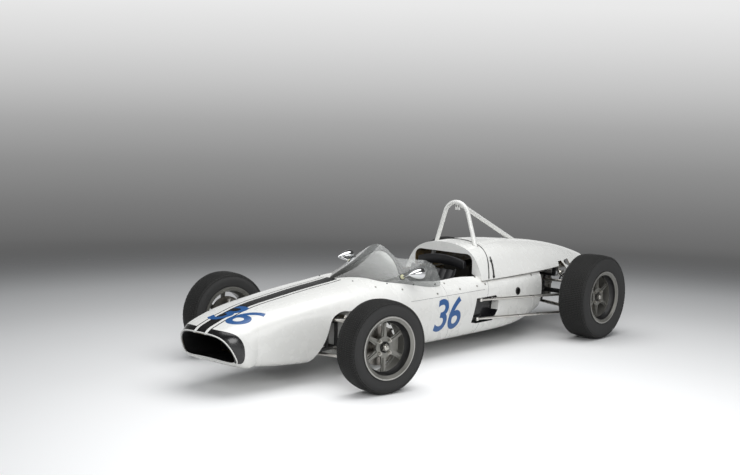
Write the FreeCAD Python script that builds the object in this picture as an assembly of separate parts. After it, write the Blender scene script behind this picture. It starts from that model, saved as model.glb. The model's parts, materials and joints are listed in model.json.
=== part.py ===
import FreeCAD, Part
import math
import os
from collections import namedtuple
from FreeCAD import Vector

# Single seat open wheel racing car, in millimetres, standing on its tyres.
# X points forwards, Y to the left and Z up. The origin is on the ground, in the
# middle of the car's overall box. A station is a distance behind the front axle,
# so what lies ahead of that axle has a negative station.

# Overall layout
wheelbase = 2310.0
front_overhang = 785.0
rear_overhang = 690.0
front_track = 1372.0
rear_track = 1298.0
front_axle_x = (wheelbase + rear_overhang - front_overhang) / 2

# Gap between bolted or bedded pieces, and between pieces that turn on each other
seat_gap = 0.3
running_gap = 1.0

# Wheels
front_tyre_radius = 270.5
rear_tyre_radius = 297.0
front_tyre_width = 168.0
rear_tyre_width = 206.0
front_rim_width = 150.0
rear_rim_width = 186.0
bead_seat_radius = 165.0
rim_lip_radius = 184.0
rim_wall = 6.0
flange_thickness = 7.0
spoke_count = 6
front_dish = 50.0
rear_dish = 58.0
spoke_thickness = 20.0
hub_radius = 62.0
hub_bore_radius = 17.0
wheel_bolt_count = 4
wheel_bolt_circle_radius = 49.0
wheel_bolt_radius = 7.0
disc_radius = 116.0
disc_thickness = 11.0
disc_hat_radius = 58.0
disc_hat_wall = 6.0

# Steering
rest_steer = -10.7
kingpin_offset = 66.0
steering_arm_length = 110.0
rack_height = 366.0
tie_rod_end_height = 331.0
tie_rod_radius = 8.0
rack_radius = 9.0
rack_housing_radius = 20.0
rack_housing_half = 190.0
rack_joint_half = 235.0
rack_joint_radius = 16.0
rack_joint_length = 38.0
tie_rod_eye_radius = 14.0
tie_rod_eye_half = 9.0
steering_wheel_radius = 140.0
steering_wheel_grip_radius = 12.0
steering_wheel_station = 850.0
steering_wheel_height = 505.0
pinion_half = 12.0
pinion_height = 24.0
column_radius = 9.0
column_hole_radius = 16.0

# Body shells
skin = 5.0
tub_wall = 25.0
seam_height = 406.0
tub_front = 152.0
tub_rear = 1560.0
pocket_floor = 324.0
pocket_wall = 10.0
cockpit_seam_station = 1010.0
side_panel_rear = 2110.0
port_radius = 19.0
port_rim = 6.0
port_height = 357.0
port_inner_y = 372.0
port_outer_y = 385.0
cover_front = 1590.0
cover_front_lean = 130.0
fairing_top = 700.0
cover_edge_height = 461.0
tail_edge_height = 392.0
tail_edge_station = 2540.0

# Radiator
radiator_station = -424.0

# Dash
dash_station = 752.0
dash_arch_half = 170.0
dash_top = 685.0
dash_base = 470.0
dash_bottom_drop = 30.0
dash_depth = 60.0
dash_thickness = 14.0

# Windscreen and mirrors
screen_thickness = 3.0
mirror_length = 118.0
mirror_radius = 37.0
mirror_y = 338.0
mirror_foot_y = 254.0
mirror_left_station = 650.0
mirror_left_height = 578.0
mirror_right_station = 720.0
mirror_right_height = 615.0

# Rear frame and running gear
tube_radius = 11.0
link_radius = 9.5
link_eye_radius = 13.0
damper_body_radius = 21.0
spring_radius = 33.0
damper_eye_radius = 12.0
damper_eye_half = 12.0
lug_thickness = 5.0

# Engine
engine_rear = wheelbase - 250.0
gearbox_half = 95.0
gearbox_bottom = 200.0
gearbox_top = 390.0
jack_pad_half = 30.0
jack_pad_height = 8.0
exhaust_radius = 26.0

# Inner face of the rear uprights, from the car's middle
upright_inner = 545.0

# Roll hoop
hoop_station = 1545.0
hoop_tube_radius = 15.0
hoop_top = 975.0
hoop_foot_half = 262.0
hoop_bend_radius = 103.0
stay_radius = 15.5
stay_foot_station = wheelbase + 145.0
stay_foot_height = 538.0


BodyStation = namedtuple("BodyStation", "station width belly low high shoulder_y shoulder_z crown_y top")
CoverStation = namedtuple("CoverStation", "station foot_y foot_z flank_y flank_z shoulder_y shoulder_z crown_y top")

# Rounded nose tip, which carries on into the main body
tip_stations = [
    BodyStation(-800, 136, 254, 276, 296, 122, 326, 76, 339),
    BodyStation(-775, 165, 238, 267, 304, 150, 343, 83, 360),
    BodyStation(-745, 204, 216, 250, 312, 179, 361, 90, 381),
    BodyStation(-715, 230, 194, 228, 319, 197, 374, 96, 392),
]

# Main body, from the nose to the engine bay
body_stations = [
    BodyStation(-785, 222, 198, 226, 300, 190, 354, 96, 374),
    BodyStation(-690, 246, 176, 205, 322, 206, 382, 102, 401),
    BodyStation(-580, 264, 156, 190, 345, 217, 416, 107, 434),
    BodyStation(-440, 280, 138, 175, 365, 230, 444, 112, 468),
    BodyStation(-280, 294, 124, 165, 385, 242, 463, 117, 491),
    BodyStation(-80, 310, 112, 160, 400, 254, 483, 122, 516),
    BodyStation(120, 328, 105, 155, 405, 264, 499, 127, 537),
    BodyStation(250, 340, 102, 155, 405, 270, 506, 128, 550),
    BodyStation(330, 347, 101, 155, 405, 274, 508, 130, 561),
    BodyStation(480, 356, 100, 155, 405, 280, 510, 145, 571),
    BodyStation(720, 368, 98, 155, 405, 294, 502, 168, 568),
    BodyStation(1010, 380, 97, 152, 405, 306, 474, 190, 545),
    BodyStation(1400, 389, 98, 150, 410, 312, 474, 190, 540),
    BodyStation(1700, 390, 102, 156, 414, 325, 470, 200, 500),
    BodyStation(1900, 376, 118, 176, 416, 325, 467, 200, 497),
    BodyStation(2110, 352, 160, 226, 420, 318, 465, 200, 492),
]

# Raised head fairing and engine cover, down to the tail
cover_stations = [
    CoverStation(1410, 350, 455, 300, 560, 250, 640, 112, 696),
    CoverStation(1540, 354, 455, 302, 560, 252, 642, 112, 700),
    CoverStation(1800, 357, 455, 302, 545, 242, 642, 108, 694),
    CoverStation(2130, 348, 455, 288, 530, 218, 620, 98, 664),
    CoverStation(2455, 316, 430, 262, 510, 185, 592, 82, 627),
    CoverStation(2755, 258, 400, 224, 470, 146, 546, 64, 568),
    CoverStation(3000, 206, 378, 176, 430, 112, 482, 46, 502),
]


def at(station, y, z):
    """Point at a distance behind the front axle."""
    return Vector(front_axle_x - station, y, z)


def box(station_0, station_1, y_0, y_1, z_0, z_1):
    """Block between two stations, two widths and two heights."""
    corner = at(station_1, y_0, z_0)
    return Part.makeBox(station_1 - station_0, y_1 - y_0, z_1 - z_0, corner)


def rod(start, end, radius):
    """Straight round bar between two points."""
    line = end - start
    return Part.makeCylinder(radius, line.Length, start, line)


def disc_along_y(radius, y_0, y_1, x=0.0, z=0.0):
    """Round slab whose axis is along Y."""
    return Part.makeCylinder(radius, y_1 - y_0, Vector(x, y_0, z), Vector(0, 1, 0))


def mirrored(shape):
    """Copy on the other side of the car."""
    return shape.mirror(Vector(0, 0, 0), Vector(0, 1, 0))


def fused(shapes):
    """One solid out of shapes that overlap."""
    first = shapes[0]
    if len(shapes) == 1:
        return first
    return first.multiFuse(shapes[1:]).removeSplitter()


def profile_face(points):
    """Flat face inside a closed row of points."""
    return Part.Face(Part.makePolygon(points + [points[0]]))


def side_prism(corners, y_0, y_1):
    """Slab across the car whose outline is given as stations and heights."""
    face = profile_face([at(station, y_0, z) for station, z in corners])
    return face.extrude(Vector(0, y_1 - y_0, 0))


def bent_path(points, radius):
    """Wire through points, with an arc of the same radius at each inner one."""
    edges = []
    last = points[0]
    for before, corner, after in zip(points, points[1:], points[2:]):
        to_before = (before - corner).normalize()
        to_after = (after - corner).normalize()
        half_angle = to_before.getAngle(to_after) / 2
        reach = radius / math.tan(half_angle)
        start = corner + to_before * reach
        end = corner + to_after * reach
        bisector = (to_before + to_after).normalize()
        middle = corner + bisector * (radius / math.sin(half_angle) - radius)
        edges.append(Part.makeLine(last, start))
        edges.append(Part.Arc(start, middle, end).toShape())
        last = end
    edges.append(Part.makeLine(last, points[-1]))
    return Part.Wire(edges)


def bent_tube(points, bend_radius, radius):
    """Round bar that follows a path with rounded corners."""
    path = bent_path(points, bend_radius)
    ring = Part.Wire([Part.makeCircle(radius, points[0], points[1] - points[0])])
    return path.makePipeShell([ring], True, False)


def closed_curve(station, poles):
    """Smooth closed section across the car, drawn towards its poles."""
    curve = Part.BSplineCurve()
    curve.buildFromPoles([at(station, y, z) for y, z in poles], True, 3)
    return Part.Wire([curve.toShape()])


def inset_poles(poles, distance):
    """The same closed row of poles, moved inwards by a wall's thickness."""
    moved = []
    count = len(poles)
    for index, (y, z) in enumerate(poles):
        y_before, z_before = poles[index - 1]
        y_after, z_after = poles[(index + 1) % count]
        into = Vector(y - y_before, z - z_before, 0).normalize()
        out = Vector(y_after - y, z_after - z, 0).normalize()
        normal = Vector(-into.y - out.y, into.x + out.x, 0).normalize()
        spread = max(normal.dot(Vector(-into.y, into.x, 0)), 0.5)
        moved.append((y + normal.x * distance / spread, z + normal.y * distance / spread))
    return moved


def both_sides(half):
    """Close a half section, given from the bottom to the top, over the other side."""
    return half + [(-y, z) for y, z in reversed(half)]


def body_poles(row):
    """Poles of one section of the main body."""
    belly_y = row.width - (row.low - row.belly) * 1.1
    half = [
        (row.width * 0.4, row.belly),
        (belly_y, row.belly),
        (row.width, row.low),
        (row.width, row.high),
        (row.shoulder_y, row.shoulder_z),
        (row.crown_y, row.top),
    ]
    return both_sides(half)


def cover_poles(row):
    """Poles of one section of the head fairing and engine cover."""
    half = [
        (row.foot_y * 0.4, row.foot_z - 60),
        (row.foot_y, row.foot_z - 60),
        (row.foot_y, row.foot_z),
        (row.flank_y, row.flank_z),
        (row.shoulder_y, row.shoulder_z),
        (row.crown_y, row.top),
    ]
    return both_sides(half)


def body_solid(inset, reach=0.0):
    """Main body as one solid, smaller by an inset and longer by a reach at both ends."""
    return lofted(body_stations, body_poles, inset, reach)


def cover_solid(inset, reach=0.0):
    """Head fairing and engine cover as one solid."""
    return lofted(cover_stations, cover_poles, inset, reach)


def lofted(rows, poles_of, inset, reach):
    """Solid through a row of sections."""
    wires = []
    for index, row in enumerate(rows):
        station = row.station
        if index == 0:
            station -= reach
        if index == len(rows) - 1:
            station += reach
        poles = poles_of(row)
        if inset:
            poles = inset_poles(poles, inset)
        wires.append(closed_curve(station, poles))
    return Part.makeLoft(wires, True, False)


far = 4000.0
body_outer = body_solid(0.0)
body_inner = body_solid(skin, 2.0)
body_bed = body_solid(-seat_gap, 2.0)
body_shell = body_outer.cut(body_inner)
cover_outer = cover_solid(0.0)
cover_inner = cover_solid(skin, 2.0)


def above_seam(station_0, station_1):
    """Space over the seam between the upper body and the tub."""
    return box(station_0, station_1, -far, far, seam_height + seat_gap, far)


def cockpit_opening():
    """Space of the cockpit opening, seen from above."""
    half = [(600, 232), (800, 258), (1010, 270), (1250, 268), (1570, 256)]
    poles = [at(station, y, seam_height) for station, y in half]
    poles += [at(station, -y, seam_height) for station, y in reversed(half)]
    curve = Part.BSplineCurve()
    curve.interpolate(poles)
    edges = [curve.toShape(), Part.makeLine(poles[-1], poles[0])]
    face = Part.Face(Part.Wire(edges))
    return face.extrude(Vector(0, 0, 500))


def nose_side_cut():
    """Space behind the nose's side edges, which the front suspension stands in."""
    edge = [(215, 80), (150, 160), (95, 225), (52, 310), (18, 375), (-25, 401), (-115, 406)]
    points = [at(-ahead, -far, z) for ahead, z in edge]
    curve = Part.BSplineCurve()
    curve.interpolate(points)
    rear_top = at(cockpit_seam_station + 50, -far, seam_height + seat_gap)
    rear_bottom = at(cockpit_seam_station + 50, -far, 0)
    front_bottom = at(-edge[0][0], -far, 0)
    seam_start = at(-edge[-1][0], -far, seam_height + seat_gap)
    edges = [
        curve.toShape(),
        Part.makeLine(points[-1], seam_start),
        Part.makeLine(seam_start, rear_top),
        Part.makeLine(rear_top, rear_bottom),
        Part.makeLine(rear_bottom, front_bottom),
        Part.makeLine(front_bottom, points[0]),
    ]
    return Part.Face(Part.Wire(edges)).extrude(Vector(0, 2 * far, 0))


def nose_shell():
    """Shell of the body with its nose tip, from the mouth to the engine bay."""
    join = body_stations[2].station
    rows = tip_stations + body_stations[1:4]
    tip = lofted(rows, body_poles, 0.0, 0.0).cut(lofted(rows, body_poles, skin, 0.0))
    tip = tip.common(box(-far, join, -far, far, 0, far))
    return tip.fuse(body_shell.common(box(join, far, -far, far, 0, far)))


def mouth_space():
    """Space ahead of the mouth, whose face curves back at the sides and leans forward at the top."""
    half = 300.0
    lean = 0.45
    rise = 400.0
    ahead = at(-front_overhang - 200, 0, 0).x
    middle = at(-front_overhang + 112.4, 0, 100)
    left = at(-front_overhang + 139.4, half, 100)
    right = at(-front_overhang + 139.4, -half, 100)
    left_front = Vector(ahead, half, 100)
    right_front = Vector(ahead, -half, 100)
    edges = [
        Part.Arc(left, middle, right).toShape(),
        Part.makeLine(right, right_front),
        Part.makeLine(right_front, left_front),
        Part.makeLine(left_front, left),
    ]
    return Part.Face(Part.Wire(edges)).extrude(Vector(lean * rise, 0, rise))


def cowl_solid(inset):
    """Raised cowl under the screen, which ends in the arch of the dash."""
    last = dash_station - seat_gap
    rise = dash_top - dash_base
    rows = [(300, 70 / 170, 75 / 215), (440, 112 / 170, 120 / 215), (600, 145 / 170, 172 / 215), (last, 1, 1)]
    wires = []
    for station, width_share, rise_share in rows:
        x = at(station, 0, 0).x
        ring = ellipse_across(x, dash_base, dash_arch_half * width_share - inset, rise * rise_share - inset)
        wires.append(Part.Wire([ring]))
    return Part.makeLoft(wires, True, False)


def nose_body():
    """Nose cone with its mouth, the scuttle and the sides ahead of the cockpit seam."""
    front = box(-far, cockpit_seam_station - seat_gap, -far, far, 0, far)
    shape = nose_shell().common(front)
    shape = shape.cut(nose_side_cut())
    shape = shape.cut(mouth_space())
    behind_dash = box(dash_station - seat_gap, far, -far, far, 0, far)
    return shape.cut(cockpit_opening().common(behind_dash))


def cowl():
    """Shell of the cowl, bedded on the scuttle."""
    return cowl_solid(0.0).cut(cowl_solid(skin)).cut(body_bed)


def side_opening():
    """Trapezoid opening in the tub's side, which the radius rods come out of."""
    corners = [
        (1303, 357), (1515, 357), (1540, 313), (1528, 258),
        (1500, 222), (1478, 190), (1300, 190), (1244, 202),
    ]
    return side_prism(corners, pocket_floor, 500)


def tub():
    """Lower monocoque with its floor, sides and both bulkheads."""
    space = box(tub_front, tub_rear, -far, far, 0, seam_height)
    inside = box(tub_front + tub_wall, tub_rear - tub_wall, -far, far, 0, far)
    hollow = body_solid(tub_wall, 2.0).common(inside)
    pocket = box(1224, tub_rear, pocket_floor - pocket_wall, 500, 0, 372)
    hollow = hollow.cut(pocket).cut(mirrored(pocket))
    shape = body_outer.common(space).cut(hollow)
    shape = shape.cut(side_opening()).cut(mirrored(side_opening()))
    for start, end in radius_rod_ends():
        groove = rod(start, end, link_radius + 4)
        shape = shape.cut(groove).cut(mirrored(groove))
    return shape.cut(rod(column_foot(), column_head(), column_hole_radius))


def fairing_slope(z):
    """Station of the engine cover's front edge at a height."""
    return cover_front - (fairing_top - z) / 260 * cover_front_lean


def fairing_space(station_0, offset):
    """Space from a station back to the engine cover's sloping front edge."""
    low = 300.0
    high = 800.0
    corners = [
        (station_0, low),
        (fairing_slope(low) + offset, low),
        (fairing_slope(high) + offset, high),
        (station_0, high),
    ]
    return side_prism(corners, -far, far)


def head_opening():
    """Arch through the head fairing's front face."""
    top = 628.0
    bottom = 380.0
    half = 250.0
    corner = 50.0
    front = 1400.0
    points = [at(front, -half, bottom), at(front, -half, top), at(front, half, top), at(front, half, bottom)]
    wire = bent_path(points, corner)
    closing = Part.makeLine(points[-1], points[0])
    face = Part.Face(Part.Wire(wire.Edges + [closing]))
    return face.extrude(Vector(-60, 0, 0))


def cockpit_surround():
    """Cockpit sides and rear edge with the head fairing."""
    sides = body_shell.common(above_seam(cockpit_seam_station, tub_rear - seat_gap))
    sides = sides.cut(cockpit_opening())
    face_thickness = 9.0
    front = cover_stations[0].station
    hollow = cover_inner.common(box(front + face_thickness, far, -far, far, 0, far))
    fairing = cover_outer.cut(hollow)
    fairing = fairing.common(above_seam(front, cover_front + 200))
    fairing = fairing.common(fairing_space(front - 10, 0.0))
    fairing = fairing.cut(head_opening())
    fairing = fairing.cut(box(front, cover_front + 200, -far, far, 0, cover_edge_height))
    fairing = fairing.cut(body_inner)
    shape = fused([sides, fairing])
    foot, shoulder = hoop_path()[:2]
    hole = rod(foot, shoulder, hoop_tube_radius + 3)
    return shape.cut(hole).cut(mirrored(hole))


def cover_lower_edge():
    """Space under the engine cover's edge, with the notch over the tailpipe."""
    beyond = wheelbase + rear_overhang + 100
    corners = [
        (1400, 0),
        (1400, cover_edge_height),
        (2400, cover_edge_height + 4),
        (2420, cover_edge_height + 34),
        (2475, cover_edge_height + 34),
        (tail_edge_station, tail_edge_height),
        (beyond, tail_edge_height - 10),
        (beyond, 0),
    ]
    return side_prism(corners, -far, far)


def engine_cover():
    """Domed engine cover that runs down to the tail."""
    shell = cover_outer.cut(cover_inner)
    shape = shell.cut(fairing_space(1300, seat_gap))
    shape = shape.cut(cover_lower_edge())
    tail = exhaust_points()[-2:]
    beyond = (tail[1] - tail[0]).normalize() * 60
    shape = shape.cut(rod(tail[0], tail[1] + beyond, exhaust_radius + 7))
    hole_start = stay_foot()
    direction = (stay_head() - stay_foot()).normalize()
    return shape.cut(rod(hole_start, hole_start + direction * 500, stay_radius + 3))


def side_panel():
    """Left panel beside the engine."""
    x = at(tub_rear + 210, 0, 0).x
    space = box(tub_rear + seat_gap, side_panel_rear, 150, far, 0, cover_edge_height - seat_gap)
    rim = disc_along_y(port_radius + port_rim, port_inner_y, port_outer_y, x, port_height)
    hole = disc_along_y(port_radius, 300, 500, x, port_height)
    return fused([body_shell.common(space), rim]).cut(hole)


def windscreen():
    """Clear screen with a raised bubble and two side wings."""
    shape = screen_solid(0.0).cut(screen_solid(screen_thickness))
    shape = shape.cut(body_bed)
    rear = [(722, 900), (718, 662), (734, 655), (880, 642), (935, 606), (985, 500), (1000, 440), (1200, 440), (1200, 900)]
    return shape.cut(side_prism(rear, -far, far))


def screen_solid(inset):
    """Solid under the screen's outer face, smaller by an inset."""
    rows = [(285, 100, 553), (345, 150, 574), (440, 205, 604), (600, 256, 666), (710, 280, 726), (1060, 292, 690)]
    base = 480.0
    wires = []
    for station, half_width, top in rows:
        width = half_width - inset
        rise = top - inset - base
        half = [
            (width * 0.5, base - 60),
            (width, base - 60),
            (width, base + rise * 0.2),
            (width * 0.95, base + rise * 0.45),
            (width * 0.58, base + rise * 0.68),
            (width * 0.18, base + rise * 1.02),
        ]
        wires.append(closed_curve(station, both_sides(half)))
    return Part.makeLoft(wires, True, False)


def mirror(side, station, z):
    """Bullet mirror on a short stalk, with its glass facing back."""
    back = at(station + mirror_length, side * mirror_y, z)
    forward = Vector(1, 0, 0)
    tip_radius = 7.0
    cone = Part.makeCone(mirror_radius, tip_radius, mirror_length, back, forward)
    tip = Part.makeSphere(tip_radius, back + forward * mirror_length)
    recess = Part.makeCylinder(mirror_radius - 3, 5, back, forward)
    foot = at(station + 6, side * mirror_foot_y, z - 34)
    stalk = rod(foot, back + forward * (mirror_length - 12), 5)
    base = rod(foot, foot + (back + forward * mirror_length - foot).normalize() * 30, 17)
    return fused([cone.cut(recess), tip, stalk, base]).cut(screen_solid(-seat_gap)).cut(body_bed)


def seat():
    """Reclined bucket seat as one plain pad."""
    floor = 97 + tub_wall + 1.5
    corners = [
        (880, floor), (890, 190), (1020, 165), (1150, 185), (1375, 590), (1392, 612),
        (1418, 600), (1425, 570), (1215, 150), (1170, floor),
    ]
    return side_prism(corners, -205, 205)


def dash_panel():
    """Dash panel across the cockpit, under its arched top."""
    front = at(dash_station, 0, 0).x
    rear = dash_station + dash_thickness
    bottom = dash_base - dash_bottom_drop
    wide = body_solid(skin + seat_gap).common(box(dash_station, rear, -far, far, bottom, bottom + dash_depth))
    face = Part.Face(Part.Wire([ellipse_across(front, dash_base, dash_arch_half, dash_top - dash_base)]))
    arch = face.extrude(Vector(-dash_thickness, 0, 0)).common(box(dash_station, rear, -far, far, bottom, far))
    shape = fused([wide, arch])
    return shape.cut(rod(column_foot(), column_head(), column_hole_radius))


def ellipse_across(x, z, half_width, half_height):
    """Upright ellipse in a plane across the car."""
    centre = Vector(x, 0, z)
    top = Vector(x, 0, z + half_height)
    side = Vector(x, half_width, z)
    return Part.Ellipse(top, side, centre).toShape()


def hoop_path():
    """Both feet of the roll hoop, and the point where its legs would meet."""
    base = seam_height - hoop_tube_radius
    middle = hoop_top - hoop_tube_radius - hoop_bend_radius
    reach = math.hypot(hoop_foot_half, middle - base)
    lean = math.atan2(hoop_foot_half, middle - base) - math.asin(hoop_bend_radius / reach)
    apex = middle + hoop_bend_radius / math.sin(lean)
    return [
        at(hoop_station, hoop_foot_half, base),
        at(hoop_station, 0, apex),
        at(hoop_station, -hoop_foot_half, base),
    ]


def stay_head():
    """Point where the stay meets the hoop's top."""
    return at(hoop_station, 0, hoop_top - hoop_tube_radius)


def stay_foot():
    """Lower end of the stay, under the engine cover."""
    return at(stay_foot_station, 0, stay_foot_height)


def roll_hoop():
    """Roll hoop with its rear stay and the small bracket under its top."""
    hoop = bent_tube(hoop_path(), hoop_bend_radius, hoop_tube_radius)
    hoop = hoop.common(above_seam(hoop_station - 100, hoop_station + 100))
    stay = rod(stay_head(), stay_foot(), stay_radius)
    bracket = box(hoop_station + 8, hoop_station + 14, -20, 20, hoop_top - 70, hoop_top - 14)
    foot = rod(stay_foot() - Vector(0, 0, 26), stay_foot() + Vector(0, 0, 4), 14)
    return fused([hoop, stay, bracket, foot])


def radiator_back():
    """Station of the radiator tanks' rear face."""
    return radiator_station + 50


def radiator():
    """Cross flow radiator in the nose, with a tank on each side."""
    core = box(radiator_station + 4, radiator_station + 46, -195, 195, 176, 384)
    pieces = [core]
    for side in (-1, 1):
        y = side * 205
        pieces.append(box(radiator_station, radiator_back(), y - 15, y + 15, 170, 390))
    return fused(pieces)


frame_half = 186.0
frame_front = -250.0
upper_ball_height = front_tyre_radius + 93
lower_ball_height = front_tyre_radius - 103
frame_top = 330.0
frame_bottom = lower_ball_height
rocker_height = 368.0
rocker_front = -11.0
rocker_rear = 47.0
front_damper_station = 12.0
front_damper_y = 120.0
front_damper_bottom = 180.0
front_damper_top = 390.0


def eye_lugs(station, y, bottom, top, half_width):
    """Pair of plates on each side of a damper's eye."""
    first = station - damper_eye_half - seat_gap - lug_thickness
    second = station + damper_eye_half + seat_gap
    return [
        box(first, first + lug_thickness, y - half_width, y + half_width, bottom, top),
        box(second, second + lug_thickness, y - half_width, y + half_width, bottom, top),
    ]


def front_frame():
    """Tubular frame ahead of the tub that carries the front suspension and radiator."""
    pieces = []
    back = tub_front - seat_gap
    cross = rack_cross_station()
    posts = (rocker_front - seat_gap - tube_radius, rocker_rear + seat_gap + tube_radius)
    low_z = front_damper_bottom - 28
    for side in (-1, 1):
        y = side * frame_half
        for z in (frame_bottom, frame_top):
            pieces.append(rod(at(back, y, z), at(frame_front, y, z), tube_radius))
        pieces.append(rod(at(frame_front, y, frame_bottom), at(frame_front, y, frame_top), tube_radius))
        pieces.append(rod(at(cross, y, frame_bottom), at(cross, y, rack_height), tube_radius))
        for station in posts:
            pieces.append(rod(at(station, y, frame_bottom), at(station, y, rocker_height + 12), tube_radius))
        pieces.append(rod(at(frame_front + 16, y, frame_bottom), at(posts[0] - 16, y, frame_top), tube_radius * 0.8))
        arm_y = side * (frame_half + 5)
        arm_z = frame_bottom + 30
        pieces.append(rod(at(frame_front, arm_y, arm_z), at(radiator_back() + seat_gap, arm_y, arm_z), 8))
        damper_y = side * front_damper_y
        pieces += eye_lugs(front_damper_station, damper_y, low_z + 4, front_damper_bottom + 12, 14)
        plate_half = damper_eye_half + seat_gap + lug_thickness
        pieces.append(box(
            front_damper_station - plate_half, front_damper_station + plate_half,
            damper_y - 14, damper_y + 14, low_z + 4, low_z + 11
        ))
    for station, z in (
        (frame_front, frame_bottom), (frame_front, frame_top), (front_damper_station, low_z),
        (cross, frame_bottom), (cross, rack_height),
    ):
        pieces.append(rod(at(station, -frame_half, z), at(station, frame_half, z), tube_radius))
    return fused(pieces)


def rack_cross_station():
    """Station of the crossmember that the rack housing is clamped to."""
    return rack_station() + rack_housing_radius + tube_radius + seat_gap


def rack_station():
    """Station of the steering rack, in line with the arms."""
    return steering_arm_length * math.cos(math.radians(rest_steer))


def rack_shift():
    """Rack's sideways place at rest, with the front wheels turned."""
    return -steering_arm_length * math.sin(math.radians(rest_steer))


def steering_rack():
    """Housing of the rack, with its pinion tower."""
    station = rack_station()
    start = at(station, -rack_housing_half, rack_height)
    end = at(station, rack_housing_half, rack_height)
    tower = box(station - pinion_half, station + pinion_half, -18, 18, rack_height, rack_height + pinion_height + 14)
    housing = fused([rod(start, end, rack_housing_radius), tower])
    return housing.cut(rod(start, end, rack_radius + running_gap))


def rack_bar():
    """Rack with both tie rods, whose outer eyes lie under the steering arms."""
    station = rack_station()
    shift = rack_shift()

    def across(y_0, y_1, radius):
        return rod(at(station, y_0, rack_height), at(station, y_1, rack_height), radius)

    pieces = [across(-rack_joint_half + shift, rack_joint_half + shift, rack_radius)]
    for side in (-1, 1):
        inner = side * rack_joint_half + shift
        end = side * (front_track / 2 - kingpin_offset) + shift
        joint_end = inner + side * rack_joint_length
        pieces.append(across(inner, joint_end, rack_joint_radius))
        rod_start = at(station, joint_end - side * rack_joint_radius, rack_height)
        pieces.append(rod(rod_start, at(station, end, tie_rod_end_height), tie_rod_radius))
        eye_foot = at(station, end, tie_rod_end_height - tie_rod_eye_half)
        pieces.append(Part.makeCylinder(tie_rod_eye_radius, 2 * tie_rod_eye_half, eye_foot, Vector(0, 0, 1)))
    return fused(pieces)


def column_foot():
    """Lower end of the steering column, behind the pinion tower."""
    return at(rack_station() + pinion_half + 2, 0, rack_height + pinion_height)


def column_head():
    """Centre of the steering wheel."""
    return at(steering_wheel_station, 0, steering_wheel_height)


def column_axis():
    """Direction of the column, towards the driver."""
    return (column_head() - column_foot()).normalize()


def steering_column():
    """Column from the rack to the steering wheel's hub."""
    return rod(column_foot(), column_head() - column_axis() * 14.3, column_radius)


def steering_wheel():
    """Three spoke steering wheel."""
    centre = column_head()
    axis = column_axis()
    ring = Part.makeTorus(steering_wheel_radius - steering_wheel_grip_radius, steering_wheel_grip_radius, centre, axis)
    hub = Part.makeCylinder(26, 28, centre - axis * 14, axis)
    pieces = [ring, hub]
    across = Vector(0, 1, 0)
    upwards = axis.cross(across)
    if upwards.z < 0:
        upwards = upwards * -1
    for angle in (-90, 0, 180):
        turn = math.radians(angle)
        out = across * math.cos(turn) + upwards * math.sin(turn)
        side = axis.cross(out)
        start = centre + out * 18
        end = centre + out * (steering_wheel_radius - steering_wheel_grip_radius)
        wide = 13.0
        narrow = 9.0
        corners = [start + side * wide, end + side * narrow, end - side * narrow, start - side * wide]
        spoke = profile_face([corner - axis * 2 for corner in corners]).extrude(axis * 4)
        pieces.append(spoke)
    return fused(pieces)


def turned_about_kingpin(shape, side):
    """Copy of a front wheel piece turned by the steering angle at rest."""
    pivot = at(0, side * (front_track / 2 - kingpin_offset), 0)
    turned = shape.copy()
    turned.rotate(pivot, Vector(0, 0, 1), rest_steer)
    return turned


def rim(rim_width, dish):
    """Six spoke cast wheel about its own centre, with its outer face towards +Y."""
    half = rim_width / 2 + flange_thickness
    inner_seat = bead_seat_radius - rim_wall
    well = bead_seat_radius - 16
    outline = [
        (rim_lip_radius, half), (rim_lip_radius, half - flange_thickness), (bead_seat_radius + 2, half - flange_thickness),
        (bead_seat_radius, half - 26), (well, half - 48), (well, -half + 58), (bead_seat_radius, -half + 30),
        (bead_seat_radius + 2, -half + flange_thickness), (rim_lip_radius, -half + flange_thickness), (rim_lip_radius, -half),
        (rim_lip_radius - 7, -half), (inner_seat, -half + 10), (inner_seat, -half + 30), (well - rim_wall, -half + 60),
        (well - rim_wall, half - 50), (inner_seat, half - 28), (inner_seat, half - 10), (rim_lip_radius - 7, half),
    ]
    face = profile_face([Vector(radius, y, 0) for radius, y in outline])
    barrel = face.revolve(Vector(0, 0, 0), Vector(0, 1, 0), 360)
    outer_face = half - dish
    inner_face = outer_face - spoke_thickness
    pieces = [barrel, disc_along_y(hub_radius, inner_face, outer_face)]
    for index in range(spoke_count):
        pieces.append(turned_spoke(inner_face, outer_face, well - 3, index))
    shape = fused(pieces)
    shape = shape.cut(disc_along_y(hub_bore_radius, inner_face - 1, outer_face + 1))
    for index in range(wheel_bolt_count):
        angle = math.radians(45 + index * 360 / wheel_bolt_count)
        x = wheel_bolt_circle_radius * math.cos(angle)
        z = wheel_bolt_circle_radius * math.sin(angle)
        shape = shape.cut(disc_along_y(wheel_bolt_radius, inner_face - 1, outer_face + 1, x, z))
    return shape


def turned_spoke(inner_face, outer_face, reach, index):
    """One tapered spoke with its raised rib."""
    root = 21.0
    waist = 13.0
    end = 17.0
    start = hub_radius - 12
    middle = (start + reach) * 0.55
    blade = profile_face([
        Vector(-root, inner_face + 3, start), Vector(-waist, inner_face + 3, middle), Vector(-end, inner_face + 3, reach),
        Vector(end, inner_face + 3, reach), Vector(waist, inner_face + 3, middle), Vector(root, inner_face + 3, start),
    ]).extrude(Vector(0, outer_face - inner_face - 9, 0))
    rib = profile_face([
        Vector(-7, outer_face - 8, start - 6), Vector(-4.5, outer_face - 8, reach), Vector(4.5, outer_face - 8, reach), Vector(7, outer_face - 8, start - 6),
    ]).extrude(Vector(0, 8, 0))
    shape = blade.fuse(rib)
    shape.rotate(Vector(0, 0, 0), Vector(0, 1, 0), index * 360 / spoke_count)
    return shape


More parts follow.
